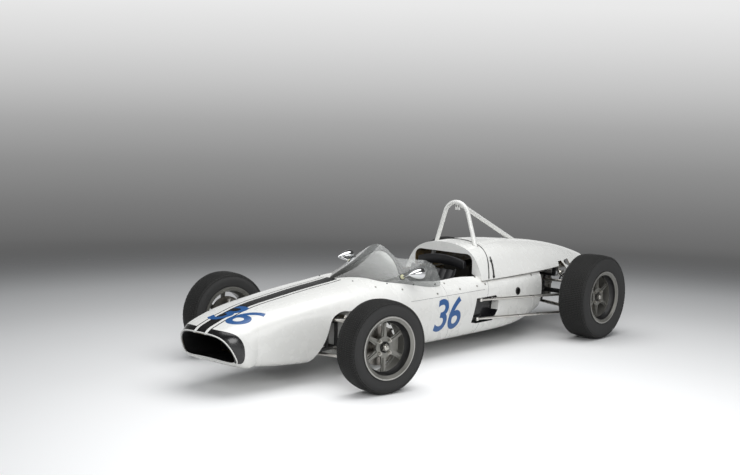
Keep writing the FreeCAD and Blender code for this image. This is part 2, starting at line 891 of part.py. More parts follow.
def tyre(radius, width, rim_width):
    """Tyre about its own centre, from the beads to the tread."""
    half = width / 2
    bead = rim_width / 2 - seat_gap
    base = bead_seat_radius + 2 + seat_gap
    outline = [
        Vector(base, bead, 0), Vector(rim_lip_radius + 2, bead, 0), Vector(rim_lip_radius + 22, half - 4, 0),
        Vector(radius - 42, half, 0), Vector(radius - 22, half - 4, 0), Vector(radius - 7, half - 20, 0),
        Vector(radius, half * 0.42, 0), Vector(radius, -half * 0.42, 0), Vector(radius - 7, -half + 20, 0),
        Vector(radius - 22, -half + 4, 0), Vector(radius - 42, -half, 0), Vector(rim_lip_radius + 22, -half + 4, 0),
        Vector(rim_lip_radius + 2, -bead, 0), Vector(base, -bead, 0),
        Vector(base, -bead + 16, 0), Vector(rim_lip_radius + 6, -bead + 4, 0), Vector(radius - 40, -half + 12, 0),
        Vector(radius - 14, -half * 0.6, 0), Vector(radius - 14, half * 0.6, 0), Vector(radius - 40, half - 12, 0),
        Vector(rim_lip_radius + 6, bead - 4, 0), Vector(base, bead - 16, 0),
    ]
    return profile_face(outline).revolve(Vector(0, 0, 0), Vector(0, 1, 0), 360)


def disc(rim_width, dish):
    """Brake disc with its hat, bolted to the inner side of the wheel's hub."""
    face = rim_width / 2 + flange_thickness - dish - spoke_thickness - seat_gap
    depth = 42.0
    hat = disc_along_y(disc_hat_radius, face - depth, face).cut(disc_along_y(disc_hat_radius - disc_hat_wall, face - depth - 1, face - disc_hat_wall))
    plate = disc_along_y(disc_radius, face - depth, face - depth + disc_thickness)
    plate = plate.cut(disc_along_y(disc_hat_radius - disc_hat_wall, face - depth - 1, face - depth + disc_thickness + 1))
    shape = fused([hat, plate])
    return shape.cut(disc_along_y(hub_bore_radius, face - depth - 1, face + 1))


def placed(shape, station, y, z):
    """Copy moved to an axle."""
    moved = shape.copy()
    moved.translate(at(station, y, z))
    return moved


def upright_left_front():
    """Front left upright with its stub axle, steering arm and caliper, at straight ahead."""
    y = front_track / 2 - kingpin_offset
    axle_z = front_tyre_radius
    stub_end = front_track / 2 + front_rim_width / 2 + flange_thickness - front_dish + 6
    body = box(-20, 20, y - 16, y + 10, axle_z - 92, axle_z + 82)
    boss = rod(at(0, y + 4, axle_z), at(0, y + 16, axle_z), 36)
    stub = rod(at(0, y, axle_z), at(0, stub_end, axle_z), hub_bore_radius - running_gap)
    nut = rod(at(0, stub_end - seat_gap, axle_z), at(0, stub_end + 14, axle_z), 15)
    arm_bottom = tie_rod_end_height + tie_rod_eye_half + running_gap
    arm = box(0, steering_arm_length + 15, y - 12, y + 12, arm_bottom, arm_bottom + 10)
    pins = [
        rod(at(0, y, axle_z + 74), at(0, y, axle_z + 110), 7),
        rod(at(0, y, axle_z - 120), at(0, y, axle_z - 84), 7),
    ]
    caliper = caliper_block(front_track / 2, front_rim_width, front_dish, axle_z, 0)
    return fused([body, boss, stub, nut, arm, caliper] + pins)


def caliper_block(wheel_y, rim_width, dish, axle_z, station):
    """Caliper astride the disc, behind the axle, with its bracket to the upright."""
    face = rim_width / 2 + flange_thickness - dish - spoke_thickness - seat_gap
    disc_y = wheel_y + face - 42.0
    clear = 5.0
    outer = box(station + 66, station + 118, disc_y - 34, disc_y + disc_thickness + 26, axle_z - 38, axle_z + 42)
    outer = outer.common(rod(at(station, disc_y - 60, axle_z), at(station, disc_y + 60, axle_z), 132))
    slot = rod(at(station, disc_y - clear, axle_z), at(station, disc_y + disc_thickness + clear, axle_z), disc_radius + clear)
    bracket = box(station, station + 80, disc_y - 34, disc_y - 20, axle_z - 24, axle_z + 24)
    return fused([outer.cut(slot), bracket])


def wishbone(inner_front, inner_rear, outer, radius):
    """Pair of legs that meet at an outer eye."""
    eye = Part.makeCylinder(15, 20, outer - Vector(0, 0, 10), Vector(0, 0, 1))
    hole = Part.makeCylinder(7 + running_gap, 30, outer - Vector(0, 0, 15), Vector(0, 0, 1))
    pieces = [eye]
    for inner in (inner_front, inner_rear):
        pieces.append(rod(inner, outer, radius))
        pieces.append(rod(inner - Vector(12, 0, 0), inner + Vector(12, 0, 0), radius + 5))
    return fused(pieces).cut(hole)


def front_wishbones():
    """Upper rocker arm and lower wishbone on the left."""
    y = front_track / 2 - kingpin_offset
    ball = at(0, y, upper_ball_height)
    shaft = rod(at(rocker_front, frame_half, rocker_height), at(rocker_rear, frame_half, rocker_height), 12)
    pieces = [shaft, Part.makeCylinder(15, 20, ball - Vector(0, 0, 10), Vector(0, 0, 1))]
    for station in (2, 34):
        pieces.append(rod(at(station, frame_half, rocker_height), ball, link_radius))
    middle_y = (front_damper_y + frame_half) / 2
    pieces += eye_lugs(front_damper_station, middle_y, rocker_height - 4, front_damper_top + 13, middle_y - 106)
    upper = fused(pieces).cut(Part.makeCylinder(7 + running_gap, 30, ball - Vector(0, 0, 15), Vector(0, 0, 1)))
    reach = frame_half + tube_radius + link_radius + 5 + seat_gap
    lower = wishbone(
        at(-80, reach, lower_ball_height), at(95, reach, lower_ball_height), at(0, y, lower_ball_height), link_radius
    )
    return [upper, lower]


def coil_over(bottom, top):
    """Damper in its coil spring, drawn as one turned shape, with an eye at each end."""
    axis = (top - bottom).normalize()
    length = (top - bottom).Length
    outline = [(0, 0), (10, 0), (10, 30), (damper_body_radius, 34), (damper_body_radius, 46)]
    outline += [(spring_radius + 6, 46), (spring_radius + 6, 53)]
    coil_start = 53.0
    coil_end = length - 46
    turns = 7
    pitch = (coil_end - coil_start) / turns
    for index in range(turns):
        low = coil_start + index * pitch
        outline += [(spring_radius - 7, low + 0.1 * pitch), (spring_radius, low + 0.35 * pitch)]
        outline += [(spring_radius, low + 0.65 * pitch), (spring_radius - 7, low + 0.9 * pitch)]
    outline += [(spring_radius + 6, coil_end), (spring_radius + 6, coil_end + 7), (9, coil_end + 7), (9, length), (0, length)]
    face = profile_face([Vector(radius, 0, z) for radius, z in outline])
    body = face.revolve(Vector(0, 0, 0), Vector(0, 0, 1), 360)
    body.Placement = FreeCAD.Placement(bottom, FreeCAD.Rotation(Vector(0, 0, 1), axis))
    eyes = []
    for point in (bottom, top):
        eyes.append(rod(point - Vector(damper_eye_half, 0, 0), point + Vector(damper_eye_half, 0, 0), damper_eye_radius))
    return fused([body] + eyes)


def front_dampers():
    """Both front spring and damper units."""
    bottom = at(front_damper_station, front_damper_y, front_damper_bottom)
    left = coil_over(bottom, at(front_damper_station, front_damper_y, front_damper_top))
    return [left, mirrored(left)]


def rear_hub_face():
    """Distance from the car's middle to the outer face of a rear wheel's hub."""
    return rear_track / 2 + rear_rim_width / 2 + flange_thickness - rear_dish


def upright_left_rear():
    """Rear left upright with its hub bearing boss, damper lug and caliper."""
    axle_z = rear_tyre_radius
    middle = upright_inner + 33
    inner = box(wheelbase - 34, wheelbase + 34, upright_inner, middle, axle_z - 128, axle_z + 104)
    outer = box(wheelbase - 34, wheelbase + 34, middle - 2, middle + 31, axle_z - 112, axle_z + 98)
    boss = rod(at(wheelbase, upright_inner, axle_z), at(wheelbase, upright_inner + 76, axle_z), 33)
    hole = rod(at(wheelbase, upright_inner - 10, axle_z), at(wheelbase, upright_inner + 90, axle_z), hub_bore_radius - 0.3)
    lug_rear = rear_damper_station() - damper_eye_half - seat_gap
    lug = box(wheelbase + 30, lug_rear, upright_inner - 26, upright_inner + 14, 178, 214)
    caliper = caliper_block(rear_track / 2, rear_rim_width, rear_dish, axle_z, wheelbase)
    return fused([inner, outer, boss, lug, caliper]).cut(hole)


def driveshaft_left():
    """Drive shaft with its joints and its stub through the left rear hub."""
    axle_z = rear_tyre_radius
    shaft = rod(at(wheelbase, 140, axle_z), at(wheelbase, rear_hub_face() + 10, axle_z), hub_bore_radius - running_gap)
    pieces = [shaft]
    for start in (140, upright_inner - 5 - 60):
        pieces.append(rod(at(wheelbase, start, axle_z), at(wheelbase, start + 60, axle_z), 38))
    return fused(pieces)


def link(start, end, radius, eye_radius):
    """Straight link with a round eye at each end."""
    pieces = [rod(start, end, radius)]
    for point in (start, end):
        foot = point - Vector(0, 0, radius + 1)
        pieces.append(Part.makeCylinder(eye_radius, 2 * (radius + 1), foot, Vector(0, 0, 1)))
    return fused(pieces)


def radius_rod_ends():
    """Both ends of the two left radius rods, the upper one first."""
    front_y = pocket_floor + 34
    rear_station = wheelbase - 34 - link_eye_radius - 2 * seat_gap
    return [
        (at(1375, front_y, 338), at(rear_station, upright_inner + 11, rear_tyre_radius + 14)),
        (at(1337, front_y, 213), at(rear_station, upright_inner - 5, rear_tyre_radius - 115)),
    ]


def rear_links():
    """Radius rods, top link and reversed lower wishbone on the left."""
    axle_z = rear_tyre_radius
    shapes = []
    for start, end in radius_rod_ends():
        lug = rod(Vector(start.x, pocket_floor + seat_gap, start.z), start, 7)
        shapes.append(fused([link(start, end, link_radius, link_eye_radius), lug]))
    outer_y = upright_inner - link_eye_radius - seat_gap
    inner_y = gearbox_half + link_eye_radius + seat_gap
    top_inner = at(wheelbase - 20, inner_y, axle_z + 69)
    shapes.append(link(top_inner, at(wheelbase, outer_y, axle_z + 84), link_radius, link_eye_radius))
    inner = at(wheelbase + 10, inner_y, 216)
    legs = []
    for reach in (-22, 12):
        legs.append(link(inner, at(wheelbase + reach, outer_y, axle_z - 112), link_radius, link_eye_radius))
    shapes.append(fused(legs))
    return shapes


def rear_damper_station():
    """Station of the rear dampers, behind the axle."""
    return wheelbase + 72


def rear_dampers():
    """Both rear spring and damper units, behind the axle."""
    station = rear_damper_station()
    left = coil_over(at(station, upright_inner - 8, 196), at(station, 300, 448))
    return [left, mirrored(left)]


def engine():
    """Engine as a plain block at its real place and size."""
    return box(tub_rear + seat_gap, engine_rear, -110, 110, 160, 520)


def gearbox():
    """Bell housing and gear casing behind the engine."""
    bell = Part.makeCone(150, 105, 150, at(engine_rear + seat_gap, 0, 300), Vector(-1, 0, 0))
    front = engine_rear + 140
    rear = wheelbase + 310
    case = box(front, rear, -gearbox_half, gearbox_half, gearbox_bottom, gearbox_top)
    tail = Part.makeCone(78, 50, 90, at(rear - 10, 0, 295), Vector(-1, 0, 0))
    outputs = rod(at(wheelbase, -134, rear_tyre_radius), at(wheelbase, 134, rear_tyre_radius), 46)
    pad_station = wheelbase + 90
    pad = box(
        pad_station - jack_pad_half, pad_station + jack_pad_half, -jack_pad_half, jack_pad_half,
        gearbox_bottom - jack_pad_height, gearbox_bottom + 2
    )
    return fused([bell, case, tail, outputs, pad])


def rear_frame():
    """Tubular frame around the engine and gearbox."""
    pieces = []
    rear = stay_foot_station
    low_z = gearbox_bottom - tube_radius - seat_gap
    high_z = gearbox_top + tube_radius + 3
    lug_front = rear_damper_station() - damper_eye_half - seat_gap
    cross = lug_front - 20
    for side in (-1, 1):
        low = at(tub_rear - 30, side * 285, 185)
        high = at(tub_rear - 30, side * 268, 380)
        rear_low = at(rear, side * 118, low_z)
        rear_high = at(rear, side * 150, high_z)
        pieces.append(rod(low, rear_low, tube_radius))
        pieces.append(rod(high, rear_high, tube_radius))
        pieces.append(rod(rear_low, rear_high, tube_radius))
        share = (wheelbase - 210 - tub_rear + 30) / (rear - tub_rear + 30)
        pieces.append(rod(low + (rear_low - low) * share, high + (rear_high - high) * share, tube_radius))
        arm_y = sorted((side * 280, side * 296))
        lug_y = sorted((side * 280, side * 314))
        pieces.append(box(lug_front - 30, lug_front, arm_y[0], arm_y[1], high_z - 8, high_z + 36))
        pieces.append(box(lug_front - 30, lug_front, lug_y[0], lug_y[1], high_z + 30, high_z + 52))
    pieces.append(rod(at(cross, -300, high_z), at(cross, 300, high_z), 10))
    for z in (high_z, low_z):
        half = 150 if z == high_z else 118
        pieces.append(rod(at(rear, -half, z), at(rear, half, z), tube_radius))
    post_top = stay_foot_height - 26 - seat_gap
    pieces.append(rod(at(rear, 0, high_z), at(rear, 0, post_top), 13))
    shape = fused(pieces)
    return shape.cut(box(tub_rear - 160, tub_rear + seat_gap, -far, far, 0, far))


def exhaust_points():
    """Corner points of the exhaust pipe, from the engine to its open tail."""
    return [at(1760, 110 + seat_gap, 446), at(1760, 200, 446), at(2250, 226, 452), at(2545, 245, 462)]


def exhaust():
    """Manifold pipe along the left of the engine, with its tailpipe."""
    points = exhaust_points()
    outer = bent_tube(points, 60, exhaust_radius)
    back = (points[-2] - points[-1]).normalize()
    return outer.cut(rod(points[-1] - back, points[-1] + back * 120, exhaust_radius - 2.5))


def front_wheel_pieces(side):
    """Rim, tyre and disc of a front wheel, turned as they stand."""
    pieces = {
        "rim": rim(front_rim_width, front_dish),
        "tyre": tyre(front_tyre_radius, front_tyre_width, front_rim_width),
        "disc": disc(front_rim_width, front_dish),
    }
    result = {}
    for name, shape in pieces.items():
        left = placed(shape, 0, front_track / 2, front_tyre_radius)
        result[name] = turned_about_kingpin(left if side > 0 else mirrored(left), side)
    return result


def rear_wheel_pieces(side):
    """Rim, tyre and disc of a rear wheel."""
    pieces = {
        "rim": rim(rear_rim_width, rear_dish),
        "tyre": tyre(rear_tyre_radius, rear_tyre_width, rear_rim_width),
        "disc": disc(rear_rim_width, rear_dish),
    }
    result = {}
    for name, shape in pieces.items():
        left = placed(shape, wheelbase, rear_track / 2, rear_tyre_radius)
        result[name] = left if side > 0 else mirrored(left)
    return result


def write(name, shapes):
    """Write one node, made of one or more solids."""
    if not isinstance(shapes, list):
        shapes = [shapes]
    solids = [solid for shape in shapes for solid in shape.Solids]
    node = solids[0] if len(solids) == 1 else Part.makeCompound(solids)
    if not node.isValid():
        print("not valid:", name)
    node.exportStep("parts/" + name + ".step")
    print(name, len(solids), "solids", round(sum(solid.Volume for solid in solids)))


def build():
    """Build and write every piece of the car."""
    os.makedirs("parts", exist_ok=True)
    write("nose_body", [nose_body(), cowl()])
    write("tub", tub())
    write("cockpit_surround", cockpit_surround())
    write("engine_cover", engine_cover())
    write("side_panel_left", side_panel())
    write("side_panel_right", mirrored(side_panel()))
    write("windscreen", windscreen())
    write("mirror_left", mirror(1, mirror_left_station, mirror_left_height))
    write("mirror_right", mirror(-1, mirror_right_station, mirror_right_height))
    write("seat", seat())
    write("dash_panel", dash_panel())
    write("roll_hoop", roll_hoop())
    write("radiator", radiator())
    write("front_frame", front_frame())
    write("steering_rack", steering_rack())
    write("rack_bar", rack_bar())
    write("steering_column", steering_column())
    write("steering_wheel", steering_wheel())
    links = front_wishbones()
    write("front_wishbones_left", links)
    write("front_wishbones_right", [mirrored(link) for link in links])
    write("front_dampers", front_dampers())
    upright = upright_left_front()
    write("upright_fl", turned_about_kingpin(upright, 1))
    write("upright_fr", turned_about_kingpin(mirrored(upright), -1))
    links = rear_links()
    write("rear_links_left", links)
    write("rear_links_right", [mirrored(link) for link in links])
    write("rear_dampers", rear_dampers())
    write("upright_rl", upright_left_rear())
    write("upright_rr", mirrored(upright_left_rear()))
    write("driveshaft_left", driveshaft_left())
    write("driveshaft_right", mirrored(driveshaft_left()))
    write("engine", engine())
    write("gearbox", gearbox())
    write("rear_frame", rear_frame())
    write("exhaust", exhaust())
    for side, letter in ((1, "l"), (-1, "r")):
        for name, shape in front_wheel_pieces(side).items():
            write(name + "_f" + letter, shape)
        for name, shape in rear_wheel_pieces(side).items():
            write(name + "_r" + letter, shape)


build()
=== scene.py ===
"""Finishes, fittings and studio for the open wheel racing car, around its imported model."""

from __future__ import annotations

import json
import logging
import math
from collections.abc import Callable, Iterable, Sequence
from dataclasses import dataclass, replace
from enum import Enum
from functools import partial

import bmesh
import bpy
from bpy.types import Material, Node, NodeOutputs, NodeSocket, NodeTree, Object
from mathutils import Matrix, Vector
from mathutils.bvhtree import BVHTree

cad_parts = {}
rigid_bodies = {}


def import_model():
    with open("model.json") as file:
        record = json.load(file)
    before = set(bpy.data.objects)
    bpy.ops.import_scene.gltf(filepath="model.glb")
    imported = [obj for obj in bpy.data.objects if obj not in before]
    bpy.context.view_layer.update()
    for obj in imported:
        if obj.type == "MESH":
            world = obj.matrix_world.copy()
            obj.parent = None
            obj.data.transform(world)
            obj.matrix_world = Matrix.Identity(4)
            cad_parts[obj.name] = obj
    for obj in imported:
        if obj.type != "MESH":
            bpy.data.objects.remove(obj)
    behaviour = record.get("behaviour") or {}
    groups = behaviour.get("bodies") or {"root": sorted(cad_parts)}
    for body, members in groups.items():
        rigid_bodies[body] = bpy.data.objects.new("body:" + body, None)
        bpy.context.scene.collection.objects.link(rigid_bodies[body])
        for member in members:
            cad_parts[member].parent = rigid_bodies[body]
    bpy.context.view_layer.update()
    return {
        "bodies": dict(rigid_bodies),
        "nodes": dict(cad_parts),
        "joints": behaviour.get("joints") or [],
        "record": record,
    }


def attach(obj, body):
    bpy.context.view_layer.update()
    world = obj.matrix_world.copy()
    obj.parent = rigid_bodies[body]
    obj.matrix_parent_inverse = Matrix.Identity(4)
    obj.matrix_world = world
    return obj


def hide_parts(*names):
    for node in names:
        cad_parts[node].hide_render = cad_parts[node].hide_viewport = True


LOG = logging.getLogger("racing_car")
MM = 0.001
# Place of the front axle ahead of the part's origin, in millimetres
FRONT_AXLE_X = 1107.5
REAR_AXLE_STATION = 2310.0
REAR_AXLE_HEIGHT = 297.0
# Angle that the front wheels are steered by in the photograph
REST_STEER = math.radians(-10.7)
UP = Vector((0, 0, 1))
LEFTWARDS = Vector((0, 1, 0))
FORWARDS = Vector((1, 0, 0))
# Distance in metres from the middle line or the ground at which a ray starts clear of the car
OUTSIDE = 1.2
HANDS = ((1, "left"), (-1, "right"))

Profile = Sequence[tuple[float, float]]


def at(station: float, across: float, height: float) -> Vector:
    """Point from millimetres behind the front axle, to the left and above the ground."""
    return Vector(((FRONT_AXLE_X - station) * MM, across * MM, height * MM))


def metres(profile: Profile) -> list[tuple[float, float]]:
    """Profile in metres from one in millimetres."""
    return [(along * MM, radius * MM) for along, radius in profile]


def linear(colour: str) -> tuple[float, float, float, float]:
    """Linear colour of an sRGB hex value.

    Args:
        colour: Hex value such as "#1F5490".

    Returns:
        Linear red, green and blue with an alpha of one.
    """
    parts = [int(colour[i:i + 2], 16) / 255 for i in (1, 3, 5)]
    red, green, blue = (c / 12.92 if c <= 0.04045 else ((c + 0.055) / 1.055) ** 2.4 for c in parts)
    return red, green, blue, 1.0


def add(tree: NodeTree, kind: str, settings: dict | None = None, links: dict | None = None) -> Node:
    """Add a node with its settings, and link or set its inputs.

    Args:
        tree: Node tree that gets the node.
        kind: Type of node.
        settings: Properties of the node.
        links: Output sockets or plain values, by input name or number.

    Returns:
        The new node.
    """
    node = tree.nodes.new(kind)
    for key, value in (settings or {}).items():
        setattr(node, key, value)
    for key, value in (links or {}).items():
        if isinstance(value, NodeSocket):
            tree.links.new(value, node.inputs[key])
        else:
            node.inputs[key].default_value = value
    return node


def near(tree: NodeTree, value: NodeSocket, line: float, half: float) -> NodeSocket:
    """Mask of a strip: one where a value lies within a half width of a line.

    Args:
        tree: Node tree that gets the nodes.
        value: Value that is looked at.
        line: Value at the strip's middle.
        half: Its half width.

    Returns:
        The mask's socket.
    """
    away = add(tree, "ShaderNodeMath", {"operation": "SUBTRACT"}, {0: value, 1: line})
    apart = add(tree, "ShaderNodeMath", {"operation": "ABSOLUTE"}, {0: away.outputs[0]})
    return add(tree, "ShaderNodeMath", {"operation": "LESS_THAN"}, {0: apart.outputs[0], 1: half}).outputs[0]


class Grain(Enum):
    """Small surface pattern of a finish."""

    PEEL = "faint waves of sprayed paint or moulded resin"
    CAST = "sand cast metal"
    TURNED = "fine lathe marks"
    HIDE = "small cells of vinyl or leather"


@dataclass(frozen=True)
class Finish:
    """One colour with faint mottling and a small raised pattern.

    Attributes:
        name: What the material is.
        colour: Main colour, sRGB hex.
        second: Colour of the mottling, such as dust, oil or bloom.
        roughness: Mean roughness.
        metallic: One for bare metal.
        coat: Weight of a clear top coat.
        grain: Kind of raised pattern.
        grain_mm: Size of the pattern.
        grain_depth_mm: Height of the pattern.
        mottle_mm: Size of the mottling.
        mottle: Share of the second colour at most.
        specular: Strength of the shine straight on, one half for common plastics.
    """

    name: str
    colour: str
    second: str
    roughness: float
    metallic: float = 0.0
    coat: float = 0.0
    grain: Grain = Grain.PEEL
    grain_mm: float = 3.0
    grain_depth_mm: float = 0.02
    mottle_mm: float = 80.0
    mottle: float = 0.25
    specular: float = 0.5

    def material(self) -> Material:
        """Material of this finish, made at its first use.

        Returns:
            The material.
        """
        found = bpy.data.materials.get(self.name)
        if found:
            return found
        made = bpy.data.materials.new(self.name)
        made.use_nodes = True
        tree = made.node_tree
        tree.nodes.clear()
        coords = add(tree, "ShaderNodeTexCoord").outputs["Object"]
        shader = self.shader(tree, coords)
        add(tree, "ShaderNodeOutputMaterial", {}, {"Surface": shader.outputs[0]})
        return made

    def shader(self, tree: NodeTree, coords: NodeSocket) -> Node:
        """Principled shader of the finish.

        Args:
            tree: The material's nodes.
            coords: Object coordinates.

        Returns:
            The shader node.
        """
        return add(tree, "ShaderNodeBsdfPrincipled", {}, {
            "Base Color": self.colours(tree, coords),
            "Roughness": self.shine(tree, coords),
            "Metallic": self.metallic,
            "Specular IOR Level": self.specular,
            "Coat Weight": self.coat,
            "Coat Roughness": 0.06,
            "Normal": self.relief(tree, coords),
        })

    def colours(self, tree: NodeTree, coords: NodeSocket) -> NodeSocket:
        """Colour with its mottling.

        Args:
            tree: The material's nodes.
            coords: Object coordinates.

        Returns:
            The colour socket.
        """
        clouds = add(tree, "ShaderNodeTexNoise", {}, {
            "Vector": coords, "Scale": 1000 / self.mottle_mm, "Detail": 5.0, "Roughness": 0.6,
        })
        share = add(tree, "ShaderNodeMapRange", {}, {
            "Value": clouds.outputs["Fac"],
            "From Min": 0.42, "From Max": 0.75, "To Min": 0.0, "To Max": self.mottle,
        })
        mixed = add(tree, "ShaderNodeMix", {"data_type": "RGBA"}, {
            0: share.outputs["Result"], 6: linear(self.colour), 7: linear(self.second),
        })
        return mixed.outputs[2]

    def shine(self, tree: NodeTree, coords: NodeSocket) -> NodeSocket:
        """Roughness with faint smears.

        Args:
            tree: The material's nodes.
            coords: Object coordinates.

        Returns:
            The roughness socket.
        """
        smears = add(tree, "ShaderNodeTexNoise", {}, {"Vector": coords, "Scale": 14.0, "Detail": 4.0})
        spread = add(tree, "ShaderNodeMapRange", {}, {
            "Value": smears.outputs["Fac"], "From Min": 0.3, "From Max": 0.7,
            "To Min": self.roughness * 0.85, "To Max": min(self.roughness * 1.2, 1.0),
        })
        return spread.outputs["Result"]

    def relief(self, tree: NodeTree, coords: NodeSocket) -> NodeSocket:
        """Normal with the raised pattern.

        Args:
            tree: The material's nodes.
            coords: Object coordinates.

        Returns:
            The normal socket.
        """
        scale = 1000 / self.grain_mm
        if self.grain is Grain.HIDE:
            cells = add(tree, "ShaderNodeTexVoronoi", {"feature": "DISTANCE_TO_EDGE"}, {
                "Vector": coords, "Scale": scale,
            })
            height = cells.outputs["Distance"]
        elif self.grain is Grain.TURNED:
            lines = add(tree, "ShaderNodeMapping", {}, {
                "Vector": coords, "Scale": (scale * 0.1, scale, scale),
            })
            noise = add(tree, "ShaderNodeTexNoise", {}, {
                "Vector": lines.outputs[0], "Scale": 1.0, "Detail": 2.0,
            })
            height = noise.outputs["Fac"]
        else:
            detail = 6.0 if self.grain is Grain.CAST else 1.0
            noise = add(tree, "ShaderNodeTexNoise", {}, {
                "Vector": coords, "Scale": scale, "Detail": detail,
            })
            height = noise.outputs["Fac"]
        bump = add(tree, "ShaderNodeBump", {}, {
            "Height": height, "Strength": 1.0, "Distance": self.grain_depth_mm * MM,
        })
        return bump.outputs["Normal"]


@dataclass(frozen=True)
class BodyPaint(Finish):
    """White body finish with painted shade along its seams, and with the black nose band and stripes where
    asked.

    Places are in metres of the part's own frame: ahead, to the left and up.

    Attributes:
        striped: True where the nose band and the stripes are painted.
        inside: Colour of the faces that look inwards, sRGB hex: bare fibre on the gelcoat panels, painted
            shade on the tub.
        inner_middle: Point of the line that inner faces look at.
        inner_limit: How far a face has to turn inwards to count, below zero.
        shaded_pocket: Lowest and highest corner of a recess that has the inside's colour, as painted shade.
        seam_shade_colour: Colour of the painted shade along the seam lines, sRGB hex.
        level_seam: Height and half width of the seam along the tub.
        level_reach: Middle and half length of that seam.
        cross_seam: Place along the car and half width of the seam across it.
        cover_seam: Lean, place and half width of the seam before the engine cover.
        stripe_colour: Colour of the band and stripes, sRGB hex.
        stripe_run: Places along the car between which the wide stripe narrows.
        stripe_halves: Its half width at each of them.
        stripe_end: Place of the stripes' rear end.
        stripe_floor: Height over which they are painted.
        line_away: Distance of the thin line from the wide stripe.
        line_half: Its half width.
        gap_half: Half width of the white gap between them.
        band_edge: Half width, power, sweep and front of the band's curved edge.
    """

    striped: bool = False
    inside: str = "#8A7755"
    inner_middle: tuple[float, float, float] = (0.0, 0.0, 0.30)
    inner_limit: float = -0.02
    shaded_pocket: tuple[tuple[float, float, float], tuple[float, float, float]] | None = None
    # Grey of the painted shade in the gaps between panels
    seam_shade_colour: str = "#77777A"
    level_seam: tuple[float, float] = (0.4062, 0.0011)
    level_reach: tuple[float, float] = (0.075, 0.375)
    cross_seam: tuple[float, float] = (0.0975, 0.0010)
    cover_seam: tuple[float, float, float] = (0.5, -0.1325, 0.0015)
    stripe_colour: str = "#161617"
    stripe_run: tuple[float, float] = (0.80, 1.86)
    stripe_halves: tuple[float, float] = (0.0475, 0.035)
    stripe_end: float = 0.8125
    stripe_floor: float = 0.31
    line_away: float = 0.026
    line_half: float = 0.0045
    gap_half: float = 0.0108
    band_edge: tuple[float, float, float, float] = (0.247, 2.8, -0.074, 1.857)

    def colours(self, tree: NodeTree, coords: NodeSocket) -> NodeSocket:
        """White with painted shade along the seams, stripes, and the inside colour on inner faces: bare
        fibre, or painted shade on the tub.

        Args:
            tree: The material's nodes.
            coords: Object coordinates.

        Returns:
            The colour socket.
        """
        painted = super().colours(tree, coords)
        place = add(tree, "ShaderNodeSeparateXYZ", {}, {0: coords}).outputs
        # The seams get a thin line of painted shade.
        masks = [(self.seam_shade_mask(tree, place), self.seam_shade_colour)]
        if self.striped:
            masks.append((self.stripe_mask(tree, place), self.stripe_colour))
        masks.append((self.inner_mask(tree, coords), self.inside))
        for mask, colour in masks:
            mixed = add(tree, "ShaderNodeMix", {"data_type": "RGBA"}, {
                0: mask, 6: painted, 7: linear(colour),
            })
            painted = mixed.outputs[2]
        return painted

    def inner_mask(self, tree: NodeTree, coords: NodeSocket) -> NodeSocket:
        """One where a face looks towards the car's middle line, and in the recess painted as shade.

        Args:
            tree: The material's nodes.
            coords: Object coordinates.

        Returns:
            The mask's socket.
        """
        normal = add(tree, "ShaderNodeNewGeometry").outputs["True Normal"]
        middle = add(tree, "ShaderNodeVectorMath", {"operation": "SUBTRACT"}, {
            0: coords, 1: self.inner_middle,
        })
        across = add(tree, "ShaderNodeVectorMath", {"operation": "MULTIPLY"}, {
            0: middle.outputs[0], 1: (0.0, 1.0, 1.0),
        })
        dot = add(tree, "ShaderNodeVectorMath", {"operation": "DOT_PRODUCT"}, {
            0: across.outputs[0], 1: normal,
        })
        inner = add(tree, "ShaderNodeMath", {"operation": "LESS_THAN"}, {
            0: dot.outputs["Value"], 1: self.inner_limit,
        }).outputs[0]
        # The recess gets the inside colour as painted shade.
        if not self.shaded_pocket:
            return inner
        mirrored = add(tree, "ShaderNodeVectorMath", {"operation": "ABSOLUTE"}, {0: coords}).outputs[0]
        within = []
        for index, (source, low, high) in enumerate(zip((coords, mirrored, coords), *self.shaded_pocket)):
            value = add(tree, "ShaderNodeSeparateXYZ", {}, {0: source}).outputs[index]
            half = (high - low) / 2
            within.append(near(tree, value, low + half, half))
        inside = within[0]
        for other in within[1:]:
            inside = add(tree, "ShaderNodeMath", {"operation": "MULTIPLY"}, {0: inside, 1: other}).outputs[0]
        return add(tree, "ShaderNodeMath", {"operation": "MAXIMUM"}, {0: inner, 1: inside}).outputs[0]

    def seam_shade_mask(self, tree: NodeTree, place: NodeOutputs) -> NodeSocket:
        """One along the seams between the panels, where their shade is painted.

        Args:
            tree: The material's nodes.
            place: The three object coordinates.

        Returns:
            The mask's socket.
        """
        lean, cover_line, cover_half = self.cover_seam
        leaning = add(tree, "ShaderNodeMath", {"operation": "MULTIPLY_ADD"}, {
            0: place["Z"], 1: lean, 2: place["X"],
        }).outputs[0]
        mask = near(tree, place["Z"], *self.level_seam)
        for operation, other in (
            ("MULTIPLY", near(tree, place["X"], *self.level_reach)),
            ("MAXIMUM", near(tree, place["X"], *self.cross_seam)),
            ("MAXIMUM", near(tree, leaning, cover_line, cover_half)),
        ):
            mask = add(tree, "ShaderNodeMath", {"operation": operation}, {0: mask, 1: other}).outputs[0]
        return mask

